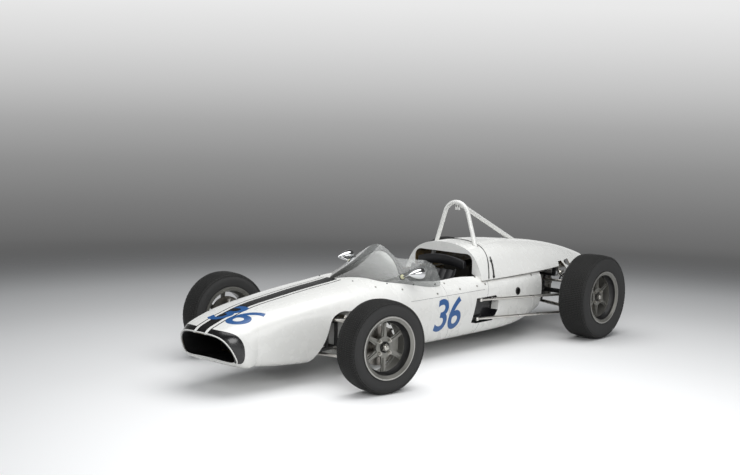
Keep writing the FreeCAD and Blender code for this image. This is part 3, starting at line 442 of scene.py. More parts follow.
    def stripe_mask(self, tree: NodeTree, place: NodeOutputs) -> NodeSocket:
        """One on the wide stripe, the thin lines beside it and the band round the mouth.

        Args:
            tree: The material's nodes.
            place: The three object coordinates.

        Returns:
            The mask's socket.
        """
        across = add(tree, "ShaderNodeMath", {"operation": "ABSOLUTE"}, {0: place["Y"]}).outputs[0]
        half = add(tree, "ShaderNodeMapRange", {}, {
            "Value": place["X"], "From Min": self.stripe_run[0], "From Max": self.stripe_run[1],
            "To Min": self.stripe_halves[0], "To Max": self.stripe_halves[1],
        }).outputs["Result"]
        wide = add(tree, "ShaderNodeMath", {"operation": "LESS_THAN"}, {0: across, 1: half}).outputs[0]
        beyond = add(tree, "ShaderNodeMath", {"operation": "SUBTRACT"}, {0: across, 1: half}).outputs[0]
        thin = near(tree, beyond, self.line_away, self.line_half)
        gap = near(tree, beyond, self.gap_half, self.gap_half)
        lines = add(tree, "ShaderNodeMath", {"operation": "MAXIMUM"}, {0: wide, 1: thin}).outputs[0]
        high = add(tree, "ShaderNodeMath", {"operation": "GREATER_THAN"}, {
            0: place["Z"], 1: self.stripe_floor,
        }).outputs[0]
        ahead = add(tree, "ShaderNodeMath", {"operation": "GREATER_THAN"}, {
            0: place["X"], 1: self.stripe_end,
        }).outputs[0]
        top = add(tree, "ShaderNodeMath", {"operation": "MULTIPLY"}, {0: high, 1: ahead}).outputs[0]
        on_top, open_gap = (
            add(tree, "ShaderNodeMath", {"operation": "MULTIPLY"}, {0: mask, 1: top}).outputs[0]
            for mask in (lines, gap)
        )
        band = self.band_mask(tree, place, across)
        parted = add(tree, "ShaderNodeMath", {"operation": "SUBTRACT"}, {0: band, 1: open_gap}).outputs[0]
        return add(tree, "ShaderNodeMath", {"operation": "MAXIMUM"}, {0: on_top, 1: parted}).outputs[0]

    def band_mask(self, tree: NodeTree, place: NodeOutputs, across: NodeSocket) -> NodeSocket:
        """One on the band round the mouth, whose rear edge is curved.

        Args:
            tree: The material's nodes.
            place: The three object coordinates.
            across: Distance from the middle line.

        Returns:
            The mask's socket.
        """
        band_half, power, sweep, front = self.band_edge
        share = add(tree, "ShaderNodeMath", {"operation": "DIVIDE"}, {0: across, 1: band_half}).outputs[0]
        curve = add(tree, "ShaderNodeMath", {"operation": "POWER"}, {0: share, 1: power}).outputs[0]
        edge = add(tree, "ShaderNodeMath", {"operation": "MULTIPLY_ADD"}, {
            0: curve, 1: sweep, 2: front,
        }).outputs[0]
        return add(tree, "ShaderNodeMath", {"operation": "GREATER_THAN"}, {0: place["X"], 1: edge}).outputs[0]


@dataclass(frozen=True)
class ClearSheet(Finish):
    """Clear acrylic sheet, slightly smoky and hazed by age, with a painted reflection that darkens its front.

    Attributes:
        clearness: Share of the light that goes through.
        front: Darker colour of the front, a painted reflection of the dark backdrop, sRGB hex.
        front_x: Places along the car between which the colour turns to it, in metres.
        ior: How strongly the sheet bends light.
    """

    clearness: float = 0.84
    front: str = "#7C7C7A"
    front_x: tuple[float, float] = (0.36, 0.80)
    ior: float = 1.45

    def shader(self, tree: NodeTree, coords: NodeSocket) -> Node:
        """Transmitting shader with a faint tint.

        Args:
            tree: The material's nodes.
            coords: Object coordinates.

        Returns:
            The shader node.
        """
        return add(tree, "ShaderNodeBsdfPrincipled", {}, {
            "Base Color": self.colours(tree, coords),
            "Roughness": self.roughness,
            "Transmission Weight": self.clearness,
            "IOR": self.ior,
        })

    def colours(self, tree: NodeTree, coords: NodeSocket) -> NodeSocket:
        """Tint that grows darker towards the front, as a painted reflection of the dark backdrop.

        Args:
            tree: The material's nodes.
            coords: Object coordinates.

        Returns:
            The colour socket.
        """
        plain = super().colours(tree, coords)
        along = add(tree, "ShaderNodeSeparateXYZ", {}, {0: coords}).outputs["X"]
        # Painted reflection: the tint darkens towards the front.
        share = add(tree, "ShaderNodeMapRange", {"interpolation_type": "SMOOTHSTEP"}, {
            "Value": along, "From Min": self.front_x[0], "From Max": self.front_x[1],
        })
        mixed = add(tree, "ShaderNodeMix", {"data_type": "RGBA"}, {
            0: share.outputs["Result"], 6: plain, 7: linear(self.front),
        })
        return mixed.outputs[2]


@dataclass(frozen=True)
class CoreFins(Finish):
    """Radiator core with upright fins between its tubes.

    Attributes:
        pitch_mm: Distance between fins.
        fin_depth_mm: Height of the fins over the core.
    """

    pitch_mm: float = 5.0
    fin_depth_mm: float = 2.0

    def relief(self, tree: NodeTree, coords: NodeSocket) -> NodeSocket:
        """Fins drawn coarser than real, so that they show.

        Args:
            tree: The material's nodes.
            coords: Object coordinates.

        Returns:
            The normal socket.
        """
        wave = add(tree, "ShaderNodeTexWave", {"bands_direction": "Y"}, {
            "Vector": coords, "Scale": 1000 / self.pitch_mm / 20 * math.pi, "Distortion": 0.0,
        })
        bump = add(tree, "ShaderNodeBump", {}, {
            "Height": wave.outputs["Fac"], "Strength": 1.0, "Distance": self.fin_depth_mm * MM,
        })
        return bump.outputs["Normal"]


# White polyester gelcoat over glass fibre: bright, clean and glossy with long faint waves
GELCOAT = BodyPaint("white_gelcoat", "#E9E9E6", "#DEDDD8", 0.26, coat=0.3, grain_mm=90, grain_depth_mm=0.15)
# The same gelcoat on the nose, with black sprayed over it in a band and stripes
NOSE_GELCOAT = replace(GELCOAT, name="white_gelcoat_striped", striped=True)
# Stoved white enamel on riveted sheet: a little cooler and flatter than the gelcoat; its inward faces and a
# recess in the tub are near black as painted shade
ENAMEL = BodyPaint(
    "white_enamel_sheet", "#E6E6E3", "#DAD8D2", 0.28, coat=0.3, grain_mm=140, grain_depth_mm=0.08,
    inside="#17171A", shaded_pocket=((-0.46, 0.17, 0.17), (-0.10, 0.331, 0.38)),
)
# White enamel sprayed on steel tube: the brightest and glossiest white
TUBE_WHITE = Finish(
    "white_enamel_tube", "#E6E6E3", "#D8D7D2", 0.2, coat=0.6, grain_mm=30, grain_depth_mm=0.002
)
# Satin black enamel on the frame tubes, greyed by dust
TUBE_BLACK = Finish("black_enamel_tube", "#1B1B1C", "#3A3835", 0.42, grain_mm=6, grain_depth_mm=0.03)
# Self-adhesive blue vinyl of the race numbers: flat colour with a soft sheen
BLUE_VINYL = Finish("blue_vinyl_film", "#1F5590", "#1B4A80", 0.35, coat=0.2, grain_mm=40, grain_depth_mm=0.02)
# Dull nickel plate on the links: bright but soft
NICKEL = Finish(
    "nickel_plate", "#E0DED9", "#A8A399", 0.30, 1.0,
    grain=Grain.TURNED, grain_mm=1.5, grain_depth_mm=0.01, mottle=0.35,
)
# Polished chrome plate of the mirror shells: a clear mirror of the studio
CHROME = Finish("chrome_plate", "#D9DADC", "#BFC0C2", 0.06, 1.0, grain_mm=60, grain_depth_mm=0.01, mottle=0.1)
# Chromate-dipped magnesium casting of the uprights: dull warm grey
MAGNESIUM = Finish(
    "magnesium_casting", "#8B8A84", "#6F6C64", 0.42, 0.65,
    grain=Grain.CAST, grain_mm=3.0, grain_depth_mm=0.12, mottle=0.4,
)
# The wheels' magnesium casting: the same grey, smoother and with dark brake dust
WHEEL_CASTING = Finish(
    "magnesium_wheel", "#82817C", "#605F5B", 0.36, 0.6,
    grain=Grain.CAST, grain_mm=3.0, grain_depth_mm=0.12, mottle=0.4,
)
# Machined outer edge of the rims: a thin bright ring
POLISHED_EDGE = Finish(
    "machined_rim_edge", "#A9A8A4", "#8B8984", 0.3, 1.0, grain_mm=2.0, grain_depth_mm=0.01
)
# Sand cast alloy of the engine and gear casing: coarse and darkened by oil
DARK_CASTING = Finish(
    "dark_alloy_casting", "#55534E", "#34312C", 0.5, 0.7,
    grain=Grain.CAST, grain_mm=3.0, grain_depth_mm=0.2, mottle=0.5,
)
# Turned iron of the discs, with a bright swept face
TURNED_IRON = Finish(
    "turned_iron", "#8C8984", "#5C4A3A", 0.35, 1.0,
    grain=Grain.TURNED, grain_mm=1.2, grain_depth_mm=0.05, mottle=0.3,
)
# Zinc plated steel of nuts and bolts: pale grey, slightly yellowed
BRIGHT_STEEL = Finish("zinc_plated_steel", "#B4B2AC", "#807A6C", 0.3, 1.0, grain_mm=2.0, grain_depth_mm=0.02)
# Oil blackened steel of springs, shafts and small fittings: near black with a low sheen
BLACK_STEEL = Finish("blackened_steel", "#232324", "#3C3833", 0.45, 0.6, grain_mm=2.0, grain_depth_mm=0.03)
# Aluminised steel of the exhaust: grey, browned in patches by heat
PIPE_STEEL = Finish(
    "aluminised_pipe", "#8D8B86", "#5E564B", 0.4, 1.0, grain_mm=5.0, grain_depth_mm=0.05, mottle=0.6
)
# Dull brass of the radiator's pipe stubs: brown gold
BRASS = Finish("dull_brass", "#9A8152", "#5C4B2C", 0.35, 1.0, grain_mm=3.0, grain_depth_mm=0.03)
# Black racing tyre rubber: deep and faintly sheeny on the wall
RUBBER = Finish(
    "tyre_rubber", "#0B0B0B", "#161615", 0.3,
    grain=Grain.CAST, grain_mm=1.2, grain_depth_mm=0.04, mottle=0.3, specular=0.1,
)
# The same rubber on the tops of the tread blocks: scrubbed matt and dusty by the road, and lighter as a
# painted highlight of the block pattern
SCRUBBED_HIGHLIGHT_RUBBER = Finish(
    "scrubbed_tread_highlight", "#2B2B2A", "#1E1E1D", 0.5,
    grain=Grain.CAST, grain_mm=1.2, grain_depth_mm=0.06, mottle=0.4, specular=0.08,
)
# Moulded black rubber of seals, boots and straps: even and satin
SOFT_RUBBER = Finish("moulded_rubber", "#151515", "#2B2A29", 0.5, grain_mm=2.0, grain_depth_mm=0.03)
# Aged cream nylon of the washers under the mirror stalks
CREAM_NYLON = Finish("cream_nylon", "#C9C7A6", "#B0AD8A", 0.45, grain_mm=4.0, grain_depth_mm=0.02)
# Black knitted-back vinyl of the seat: small grain and a soft sheen on its channels
SEAT_VINYL = Finish(
    "black_seat_vinyl", "#1C1C1E", "#2C2C2E", 0.42, grain=Grain.HIDE, grain_mm=1.6, grain_depth_mm=0.12
)
# Black leather stitched round the steering wheel: finer grain, duller from hands
GRIP_LEATHER = Finish(
    "black_grip_leather", "#1A1919", "#2D2A28", 0.5, grain=Grain.HIDE, grain_mm=1.4, grain_depth_mm=0.15
)
# Crackle finish enamel of the dash: matt black with a fine net of ridges
DASH_BLACK = Finish(
    "crackle_black_panel", "#1A1A1B", "#262627", 0.6, grain=Grain.HIDE, grain_mm=1.2, grain_depth_mm=0.15
)
# Printed black card of the dial faces: flat and matt
DIAL_FACE = Finish("black_dial_face", "#101011", "#161617", 0.5, grain_mm=10)
# White ink of the dial marks and needles
DIAL_MARK = Finish("white_dial_ink", "#E8E8E4", "#DDDDD8", 0.5, grain_mm=10)
# Near black of the nose duct, unpolished: painted shade inside the mouth
DUCT_SHADE = Finish(
    "duct_painted_shade", "#121213", "#1E1E1F", 0.55, grain=Grain.CAST, grain_mm=4.0, grain_depth_mm=0.1
)
# Black lacquered fins of the radiator core
CORE_BLACK = CoreFins("radiator_core", "#17171A", "#2A2A2B", 0.5, 0.3)
# Blown clear acrylic of the screen, with soft highlights; its front is painted darker as a reflection of the
# dark backdrop
ACRYLIC = ClearSheet("clear_acrylic", "#D9DBDA", "#CFD2D1", 0.04, grain_mm=50, mottle=0.1)
# Silvered glass of the mirrors: sharp and bright
MIRROR_GLASS = Finish(
    "mirror_glass", "#D8DCDE", "#D0D4D6", 0.02, 1.0, grain_mm=90, grain_depth_mm=0.005, mottle=0.1
)


class Bench:
    """A mesh being made, from its first shape to the finished piece on its body.

    Attributes:
        sharp_from: Angle in radians from which an edge is rounded.
        coil_steps: Steps in one turn of a coil.
        same_within: Distance in metres under which two points are one.
    """

    sharp_from: float = 0.6
    coil_steps: int = 22
    same_within: float = 2e-6

    def __init__(self) -> None:
        """Start with an empty mesh."""
        self.mesh = bmesh.new()

    def bar(
        self, start: Vector, end: Vector, radius: float, end_radius: float | None = None,
        segments: int = 20, bevel: float = 0.0,
    ) -> None:
        """Round bar, cone or prism between two points.

        Args:
            start: Centre of the first end, in metres.
            end: Centre of the other end.
            radius: Radius at the start.
            end_radius: Radius at the end, the same where it isn't given.
            segments: Sides around it, six for a hexagon.
            bevel: Width of the rounding at its ends.
        """
        line = end - start
        turn = line.to_track_quat("Z", "Y").to_matrix().to_4x4()
        far_radius = radius if end_radius is None else end_radius
        made = bmesh.ops.create_cone(
            self.mesh, cap_ends=True, cap_tris=False, segments=segments, radius1=radius, radius2=far_radius,
            depth=line.length, matrix=Matrix.Translation((start + end) / 2) @ turn,
        )
        if bevel:
            self.round_edges(made["verts"], bevel)

    def block(self, low: Vector, high: Vector, bevel: float = 0.0) -> None:
        """Block between two corners.

        Args:
            low: First corner, in metres.
            high: Opposite corner.
            bevel: Width of the rounding of its edges.
        """
        place = Matrix.Translation((low + high) / 2) @ Matrix.Diagonal((*(high - low), 1.0))
        made = bmesh.ops.create_cube(self.mesh, size=1.0, matrix=place)
        if bevel:
            self.round_edges(made["verts"], bevel)

    def ball(self, centre: Vector, radius: float, segments: int = 16) -> None:
        """Ball about a centre.

        Args:
            centre: Its centre, in metres.
            radius: Its radius.
            segments: Faces around it.
        """
        bmesh.ops.create_uvsphere(
            self.mesh, u_segments=segments, v_segments=segments // 2, radius=radius,
            matrix=Matrix.Translation(centre),
        )

    def round_edges(self, verts: Iterable[bmesh.types.BMVert], width: float) -> None:
        """Round the sharp edges that touch some vertices.

        Args:
            verts: The vertices.
            width: Width of the rounding, in metres.
        """
        edges = dict.fromkeys(edge for vert in verts for edge in vert.link_edges)
        sharp = [
            edge for edge in edges if len(edge.link_faces) == 2 and edge.calc_face_angle() > self.sharp_from
        ]
        bmesh.ops.bevel(
            self.mesh, geom=sharp, offset=width, offset_type="OFFSET", segments=2, profile=0.5,
            affect="EDGES", clamp_overlap=True, material=-1,
        )

    def lathe(
        self, profile: Profile, centre: Vector, axis: Vector, steps: int = 48, closed: bool = False
    ) -> None:
        """Turned shape.

        Args:
            profile: Distances along the axis and radii, in metres.
            centre: Origin of the profile.
            axis: Direction of the axis.
            steps: Faces around.
            closed: True where the profile is a ring, such as a tyre's.
        """
        direction = axis.normalized()
        side = direction.orthogonal().normalized()
        verts = [
            self.mesh.verts.new(centre + direction * along + side * radius) for along, radius in profile
        ]
        edges = [self.mesh.edges.new(pair) for pair in zip(verts, verts[1:])]
        if closed:
            edges.append(self.mesh.edges.new((verts[-1], verts[0])))
        bmesh.ops.spin(
            self.mesh, geom=verts + edges, cent=centre, axis=direction, dvec=(0, 0, 0), angle=math.tau,
            steps=steps, use_merge=True, use_normal_flip=False, use_duplicate=False,
        )

    def coil(self, foot: Vector, axis: Vector, radius: float, wire: float, turns: float, rise: float) -> None:
        """Coil spring of round wire, from its foot along its axis.

        Args:
            foot: Middle of its first turn, in metres.
            axis: Direction of its axis.
            radius: Radius of the turns.
            wire: Radius of the wire.
            turns: Number of turns.
            rise: Length along the axis.
        """
        direction = axis.normalized()
        side = direction.orthogonal().normalized()
        across = direction.cross(side)
        facing = across.to_track_quat("Z", "Y").to_matrix().to_4x4()
        place = Matrix.Translation(foot + side * radius) @ facing
        ring = bmesh.ops.create_circle(self.mesh, cap_ends=False, segments=8, radius=wire, matrix=place)
        edges = list(dict.fromkeys(edge for vert in ring["verts"] for edge in vert.link_edges))
        steps = int(turns * self.coil_steps)
        bmesh.ops.spin(
            self.mesh, geom=ring["verts"] + edges, cent=foot, axis=direction, dvec=direction * (rise / steps),
            angle=math.tau * turns, steps=steps, use_merge=False, use_normal_flip=False, use_duplicate=False,
        )
        open_edges = [edge for edge in self.mesh.edges if edge.is_boundary]
        bmesh.ops.holes_fill(self.mesh, edges=open_edges, sides=0)

    def plate(self, outline: Sequence[Vector], rise: Vector, bevel: float = 0.0) -> None:
        """Flat plate.

        Args:
            outline: Corners of its first face, in metres.
            rise: Thickness and its direction.
            bevel: Width of the rounding of its edges.
        """
        face = self.mesh.faces.new([self.mesh.verts.new(point) for point in outline])
        grown = bmesh.ops.extrude_face_region(self.mesh, geom=[face])
        top = [item for item in grown["geom"] if isinstance(item, bmesh.types.BMVert)]
        bmesh.ops.translate(self.mesh, vec=rise, verts=top)
        if bevel:
            self.round_edges(top + list(face.verts), bevel)

    def tube(self, points: Sequence[Vector], radius: float, closed: bool = False, order: int = 4) -> None:
        """Tube along a smooth line.

        Args:
            points: Control points of the line, in metres.
            radius: Radius of the tube.
            closed: True where its ends meet.
            order: How smoothly the line follows its points, three for closely.
        """
        curve = bpy.data.curves.new("line", "CURVE")
        curve.dimensions = "3D"
        curve.bevel_depth = radius
        curve.bevel_resolution = 3
        curve.use_fill_caps = not closed
        spline = curve.splines.new("NURBS")
        spline.points.add(len(points) - 1)
        for target, point in zip(spline.points, points):
            target.co = (*point, 1.0)
        spline.use_cyclic_u = closed
        spline.use_endpoint_u = not closed
        spline.order_u = order
        spline.resolution_u = 8
        self.take(bpy.data.objects.new("line", curve))

    def take(self, source: Object) -> None:
        """Take the mesh of a curve or text object in, and drop the object.

        Args:
            source: The object.
        """
        bpy.context.scene.collection.objects.link(source)
        graph = bpy.context.evaluated_depsgraph_get()
        data = bpy.data.meshes.new_from_object(source.evaluated_get(graph))
        self.mesh.from_mesh(data)
        bpy.data.meshes.remove(data)
        bpy.data.objects.remove(source)

    def place(
        self, name: str, body: str, finish: Finish, slot: str = "", matrix: Matrix | None = None,
        smooth: float = 35.0,
    ) -> Object:
        """Finish the piece and put it on its body.

        Args:
            name: Name of the piece.
            body: Body that it rides on.
            finish: Its finish.
            slot: Not used; names a material slot of the record, where there is one.
            matrix: Move from the place that it was made in, where that differs.
            smooth: Angle in degrees from which an edge stays sharp.

        Returns:
            The new object.
        """
        mesh = self.mesh
        if matrix:
            bmesh.ops.transform(mesh, matrix=matrix, verts=mesh.verts)
        bmesh.ops.remove_doubles(mesh, verts=mesh.verts, dist=self.same_within)
        bmesh.ops.dissolve_degenerate(mesh, dist=1e-7, edges=mesh.edges)
        bmesh.ops.recalc_face_normals(mesh, faces=mesh.faces)
        data = bpy.data.meshes.new(name)
        mesh.to_mesh(data)
        mesh.free()
        data.shade_smooth()
        data.set_sharp_from_angle(angle=math.radians(smooth))
        data.materials.append(finish.material())
        piece = bpy.data.objects.new(name, data)
        bpy.context.scene.collection.objects.link(piece)
        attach(piece, body)
        return piece


def soften(piece: Object, levels: int) -> None:
    """Smooth a padded piece.

    Args:
        piece: The piece.
        levels: How many times its faces are split.
    """
    finer = piece.modifiers.new("smooth", "SUBSURF")
    finer.levels = levels
    finer.render_levels = levels


class Skin:
    """Outer faces of some solids, for laying small pieces on them."""

    def __init__(self, frame: dict, nodes: Sequence[str]) -> None:
        """Collect the faces of the named solids.

        Args:
            frame: The loaded model.
            nodes: Names of the solids.
        """
        mesh = bmesh.new()
        for node in nodes:
            mesh.from_mesh(frame["nodes"][node].data)
        self.tree = BVHTree.FromBMesh(mesh)
        mesh.free()

    def below(self, origin: Vector, direction: Vector) -> tuple[Vector, Vector]:
        """Point and outward direction where a ray meets the skin.

        Args:
            origin: Start of the ray.
            direction: Direction of the ray.

        Returns:
            The point and the unit vector towards the ray's start.

        Raises:
            ValueError: If the ray meets nothing.
        """
        point, normal, _, _ = self.tree.ray_cast(origin, direction.normalized())
        if point is None:
            raise ValueError(f"no skin is met from {tuple(origin)}")
        if normal.dot(direction) > 0:
            normal = -normal
        return point, normal

    def side(self, x: float, z: float, hand: int) -> tuple[Vector, Vector]:
        """Point and outward direction on one side of the car.

        Args:
            x: Place along the car, in metres.
            z: Height.
            hand: One for the left side, minus one for the right.

        Returns:
            The point and the outward direction.
        """
        return self.below(Vector((x, hand * OUTSIDE, z)), Vector((0, -hand, 0)))


@dataclass
class Assembly:
    """A part of the car that dresses its solids and adds its own pieces.

    Attributes:
        frame: The loaded model.
    """

    frame: dict

    def dress(self, finish: Finish, *nodes: str) -> None:
        """Give solids a finish.

        Args:
            finish: The finish.
            nodes: Names of the solids.
        """
        for node in nodes:
            for slot in self.frame["nodes"][node].material_slots:
                slot.material = finish.material()


@dataclass
class Bodywork(Assembly):
    """Body panels with their lip, duct, fasteners, straps, seal and side caps.

    Lengths are in millimetres where their line doesn't say m.

    Attributes:
        panels: Solids with the plain gelcoat.
        lip_radius: Radius of the mouth's lip.
        mouth_foot: Station of the mouth's face at its base.
        mouth_base: Height of that base.
        mouth_lean: Its slope ahead with height.
        mouth_curve: How it goes back with the square of the width.
        mouth_middle: Height of its middle.
        mouth_points: Points around it.
        mouth_guess: First guess of its half width and half height.
        mouth_depth: How far behind the face its edge is sought.
        mouth_tries: Looks from the last place found.
        shell_half: Half the shell's thickness.
        duct_start: Depth in m, width and height of the duct's front against the mouth.
        duct_rows: Stations, widths and heights of its other rows.
        seal_radius: Radius of the seal.
        seal_rise: Height of its middle over the skin.
        seal_heights: Heights of its side points.
        seal_foot: Where its leaning line meets the ground, in m ahead.
        seal_lean: Its slope back with height.
        seal_top: Its level top, in m ahead.
        seal_across: Points there, in m to the left.
        fastener_radius: Radius of the fasteners.
        fastener_profile: Heights in m and shares of that radius.
        slot_heights: Bottom and top of the black bar that paints a slot's shade, in m.
        left_fasteners: Places ahead and up, in m.
        strap_line: Places of a strap ahead and up, in m.
        strap_lift: Height over the skin, in m.
        strap_radius: Its radius, in m.
        strap_tail: Lift and radius of its free end, in m.
        knob: Lift and radius of the ball at a hook, in m.
        hook_half: Half size of a hook, in m.
        port: Station and height of the side holes.
        cap_face: Distance of the cap's face from the middle.
        cap_profile: Its profile, in m.
        stem: Ends of the bar behind it.
        ring_face: Distance of the ring's face.
        ring_profile: Its profile, in m.
    """

    panels: tuple[str, ...] = ("cockpit_surround", "engine_cover", "side_panel_left", "side_panel_right")
    lip_radius: float = 3.8
    mouth_foot: float = -672.6
    mouth_base: float = 100.0
    mouth_lean: float = 0.45
    mouth_curve: float = 0.0003
    mouth_middle: float = 272.0
    mouth_points: int = 40
    mouth_guess: tuple[float, float] = (200.0, 80.0)
    mouth_depth: float = 10.0
    mouth_tries: int = 3
    shell_half: float = 2.5
    duct_start: tuple[float, float, float] = (0.006, 0.955, 0.92)
    duct_rows: tuple[tuple[float, float, float], ...] = (
        (-690, 0.97, 0.98), (-580, 0.97, 1.06), (-440, 0.99, 1.22), (-424, 0.99, 1.22),
    )
    seal_radius: float = 4.5
    seal_rise: float = 1.0
    seal_heights: tuple[float, ...] = (470, 530, 590, 640)
    seal_foot: float = -0.1365
    seal_lean: float = 0.5
    seal_top: float = -0.472
    seal_across: tuple[float, ...] = (-0.17, -0.09, 0.0, 0.09, 0.17)
    fastener_radius: float = 7.5
    fastener_profile: Profile = ((0.0, 1.0), (0.0012, 1.0), (0.0022, 0.7), (0.0024, 0.0))
    slot_heights: tuple[float, float] = (0.0022, 0.0027)
    left_fasteners: tuple[tuple[float, float], ...] = (
        (0.186, 0.427), (-0.050, 0.433), (-0.231, 0.434), (-0.321, 0.438), (-0.880, 0.443),
        (0.057, 0.476), (-0.279, 0.483), (0.686, 0.513), (0.485, 0.482),
    )
    strap_line: tuple[tuple[float, float], ...] = (
        (-0.462, 0.600), (-0.458, 0.575), (-0.452, 0.548), (-0.440, 0.512), (-0.428, 0.476),
    )
    strap_lift: float = 0.004
    strap_radius: float = 0.0055
    strap_tail: tuple[float, float] = (0.007, 0.004)
    knob: tuple[float, float] = (0.005, 0.007)
    hook_half: tuple[float, float, float] = (0.009, 0.004, 0.009)
    port: tuple[float, float] = (1770, 357)
    cap_face: float = 352
    cap_profile: Profile = ((-0.02, 0.0175), (0.012, 0.0175), (0.016, 0.015), (0.018, 0.008), (0.018, 0.0))
    stem: tuple[float, float] = (200, 350)
    ring_face: float = 373
    ring_profile: Profile = (
        (-0.006, 0.0185), (-0.006, 0.0265), (0.0115, 0.0265), (0.0135, 0.0235), (0.0125, 0.0185),
    )

    def build(self) -> None:
        """Dress the panels and add everything on them."""
        self.dress(GELCOAT, *self.panels)
        self.dress(NOSE_GELCOAT, "nose_body")
        self.dress(ENAMEL, "tub")
        skin = Skin(self.frame, ["nose_body", "tub", *self.panels])
        edge = self.mouth_edge()
        self.add_lip(edge)
        self.add_duct(edge)
        self.add_fasteners(skin)
        self.add_straps(skin)
        self.add_seal(skin)
        self.add_filler()

    def mouth_station(self, y: float, z: float) -> float:
        """Station of the mouth's face at a place on it, in millimetres."""
        return self.mouth_foot + self.mouth_curve * y * y - self.mouth_lean * (z - self.mouth_base)

    def mouth_edge(self) -> list[Vector]:
        """Closed row of points along the middle of the shell's edge round the mouth.

        Returns:
            The points.
        """
        skin = Skin(self.frame, ["nose_body"])
        middle = self.mouth_middle
        origin = at(self.mouth_station(0, middle) + self.mouth_depth, 0, middle)
        half_width, half_height = self.mouth_guess
        edge = []
        for index in range(self.mouth_points):
            angle = math.tau * index / self.mouth_points
            y, z = half_width * math.cos(angle), middle + half_height * math.sin(angle)
            for _ in range(self.mouth_tries):
                target = at(self.mouth_station(y, z) + self.mouth_depth, y, z)
                point, _ = skin.below(origin, target - origin)
                y, z = point.y / MM, point.z / MM
            grow = 1 + self.shell_half / math.hypot(y, z - middle)
            y, z = y * grow, middle + (z - middle) * grow
            edge.append(at(self.mouth_station(y, z), y, z))
        return edge

    def add_lip(self, edge: Sequence[Vector]) -> None:
        """Thin white lip along the mouth's edge.

        Args:
            edge: Points along that edge.
        """
        bench = Bench()
        bench.tube(edge, self.lip_radius * MM, closed=True, order=3)
        bench.place("mouth_lip", "chassis", TUBE_WHITE, "body_white")

    def add_duct(self, edge: Sequence[Vector]) -> None:
        """Duct from the mouth to the radiator, near black as painted shade inside the mouth.

        Args:
            edge: Points along the mouth's edge.
        """
        bench = Bench()
        centre = self.mouth_middle * MM
        depth, wide, tall = self.duct_start
        rows = [[Vector((p.x - depth, p.y * wide, centre + (p.z - centre) * tall)) for p in edge]]
        for station, wide, tall in self.duct_rows:
            x = at(station, 0, 0).x
            rows.append([Vector((x, p.y * wide, centre + (p.z - centre) * tall)) for p in edge])
        loops = []
        for points in rows:
            verts = [bench.mesh.verts.new(point) for point in points]
            loops.append([bench.mesh.edges.new(pair) for pair in zip(verts, verts[1:] + verts[:1])])
        for front, back in zip(loops, loops[1:]):
            bmesh.ops.bridge_loops(bench.mesh, edges=front + back)
        # Near black duct: painted shade inside the mouth.
        bench.place("mouth_duct", "chassis", DUCT_SHADE, "core_black")

    def add_fasteners(self, skin: Skin) -> None:
        """Slotted quarter-turn fasteners along the panel edges on both sides, their slots drawn as black bars
        of painted shade.

        Args:
            skin: Skin of the panels.
        """
        bench = Bench()
        slots = Bench()
        radius = self.fastener_radius * MM
        profile = [(height, share * radius) for height, share in self.fastener_profile]
        bottom, top = self.slot_heights
        for hand, _ in HANDS:
            for x, z in self.left_fasteners:
                point, normal = skin.side(x, z, hand)
                bench.lathe(profile, point, normal, 16)
                # Black bar over the head: painted shade of the slot.
                slots.bar(point + normal * bottom, point + normal * top, radius * 0.55, segments=4)
        bench.place("panel_fasteners", "chassis", BRIGHT_STEEL)
        slots.place("fastener_slot_shades", "chassis", BLACK_STEEL)

    def add_straps(self, skin: Skin) -> None:
        """Black rubber strap with its hook on each side of the engine cover.

        Args:
            skin: Skin of the panels.
        """
        straps = Bench()
        hooks = Bench()
        hook_half = Vector(self.hook_half)
        knob_lift, knob_radius = self.knob
        tail_lift, tail_radius = self.strap_tail
        for hand, _ in HANDS:
            run = [skin.side(x, z, hand) for x, z in self.strap_line]
            lifted = [point + normal * self.strap_lift for point, normal in run]
            for start, end in zip(lifted[1:], lifted[2:]):
                straps.bar(start, end, self.strap_radius, segments=8)
            for point, normal in (run[1], run[-1]):
                hooks.block(point - hook_half, point + hook_half, 0.002)
                straps.ball(point + normal * knob_lift, knob_radius)
            tail = [point + normal * tail_lift for point, normal in run[:2]]
            straps.tube([*tail, lifted[1]], tail_radius, order=3)
        straps.place("cover_straps", "chassis", SOFT_RUBBER)
        hooks.place("strap_hooks", "chassis", BLACK_STEEL)

    def add_seal(self, skin: Skin) -> None:
        """Black rubber seal over the joint of the head fairing and the engine cover.

        Args:
            skin: Skin of the panels.
        """
        sides = {}
        for hand, _ in HANDS:
            heights = [height * MM for height in self.seal_heights]
            sides[hand] = [skin.side(self.seal_foot - z * self.seal_lean, z, hand) for z in heights]
        over = [skin.below(Vector((self.seal_top, y, OUTSIDE)), -UP) for y in self.seal_across]
        met = sides[-1] + over + sides[1][::-1]
        bench = Bench()
        line = [point + normal * self.seal_rise * MM for point, normal in met]
        bench.tube(line, self.seal_radius * MM, order=3)
        bench.place("cover_seal", "chassis", SOFT_RUBBER)

    def add_filler(self) -> None:
        """Round cap and rubber ring in the hole of each side panel."""
        station, height = self.port
        inner, outer = self.stem
        for hand, name in HANDS:
            cap = Bench()
            cap.lathe(self.cap_profile, at(station, hand * self.cap_face, height), LEFTWARDS * hand, 32)
            cap.bar(at(station, hand * inner, height), at(station, hand * outer, height), 0.012)
            cap.place("side_cap_" + name, "chassis", BLACK_STEEL)
            ring = Bench()
            middle = at(station, hand * self.ring_face, height)
            ring.lathe(self.ring_profile, middle, LEFTWARDS * hand, 40, closed=True)
            ring.place("port_ring_" + name, "chassis", SOFT_RUBBER)


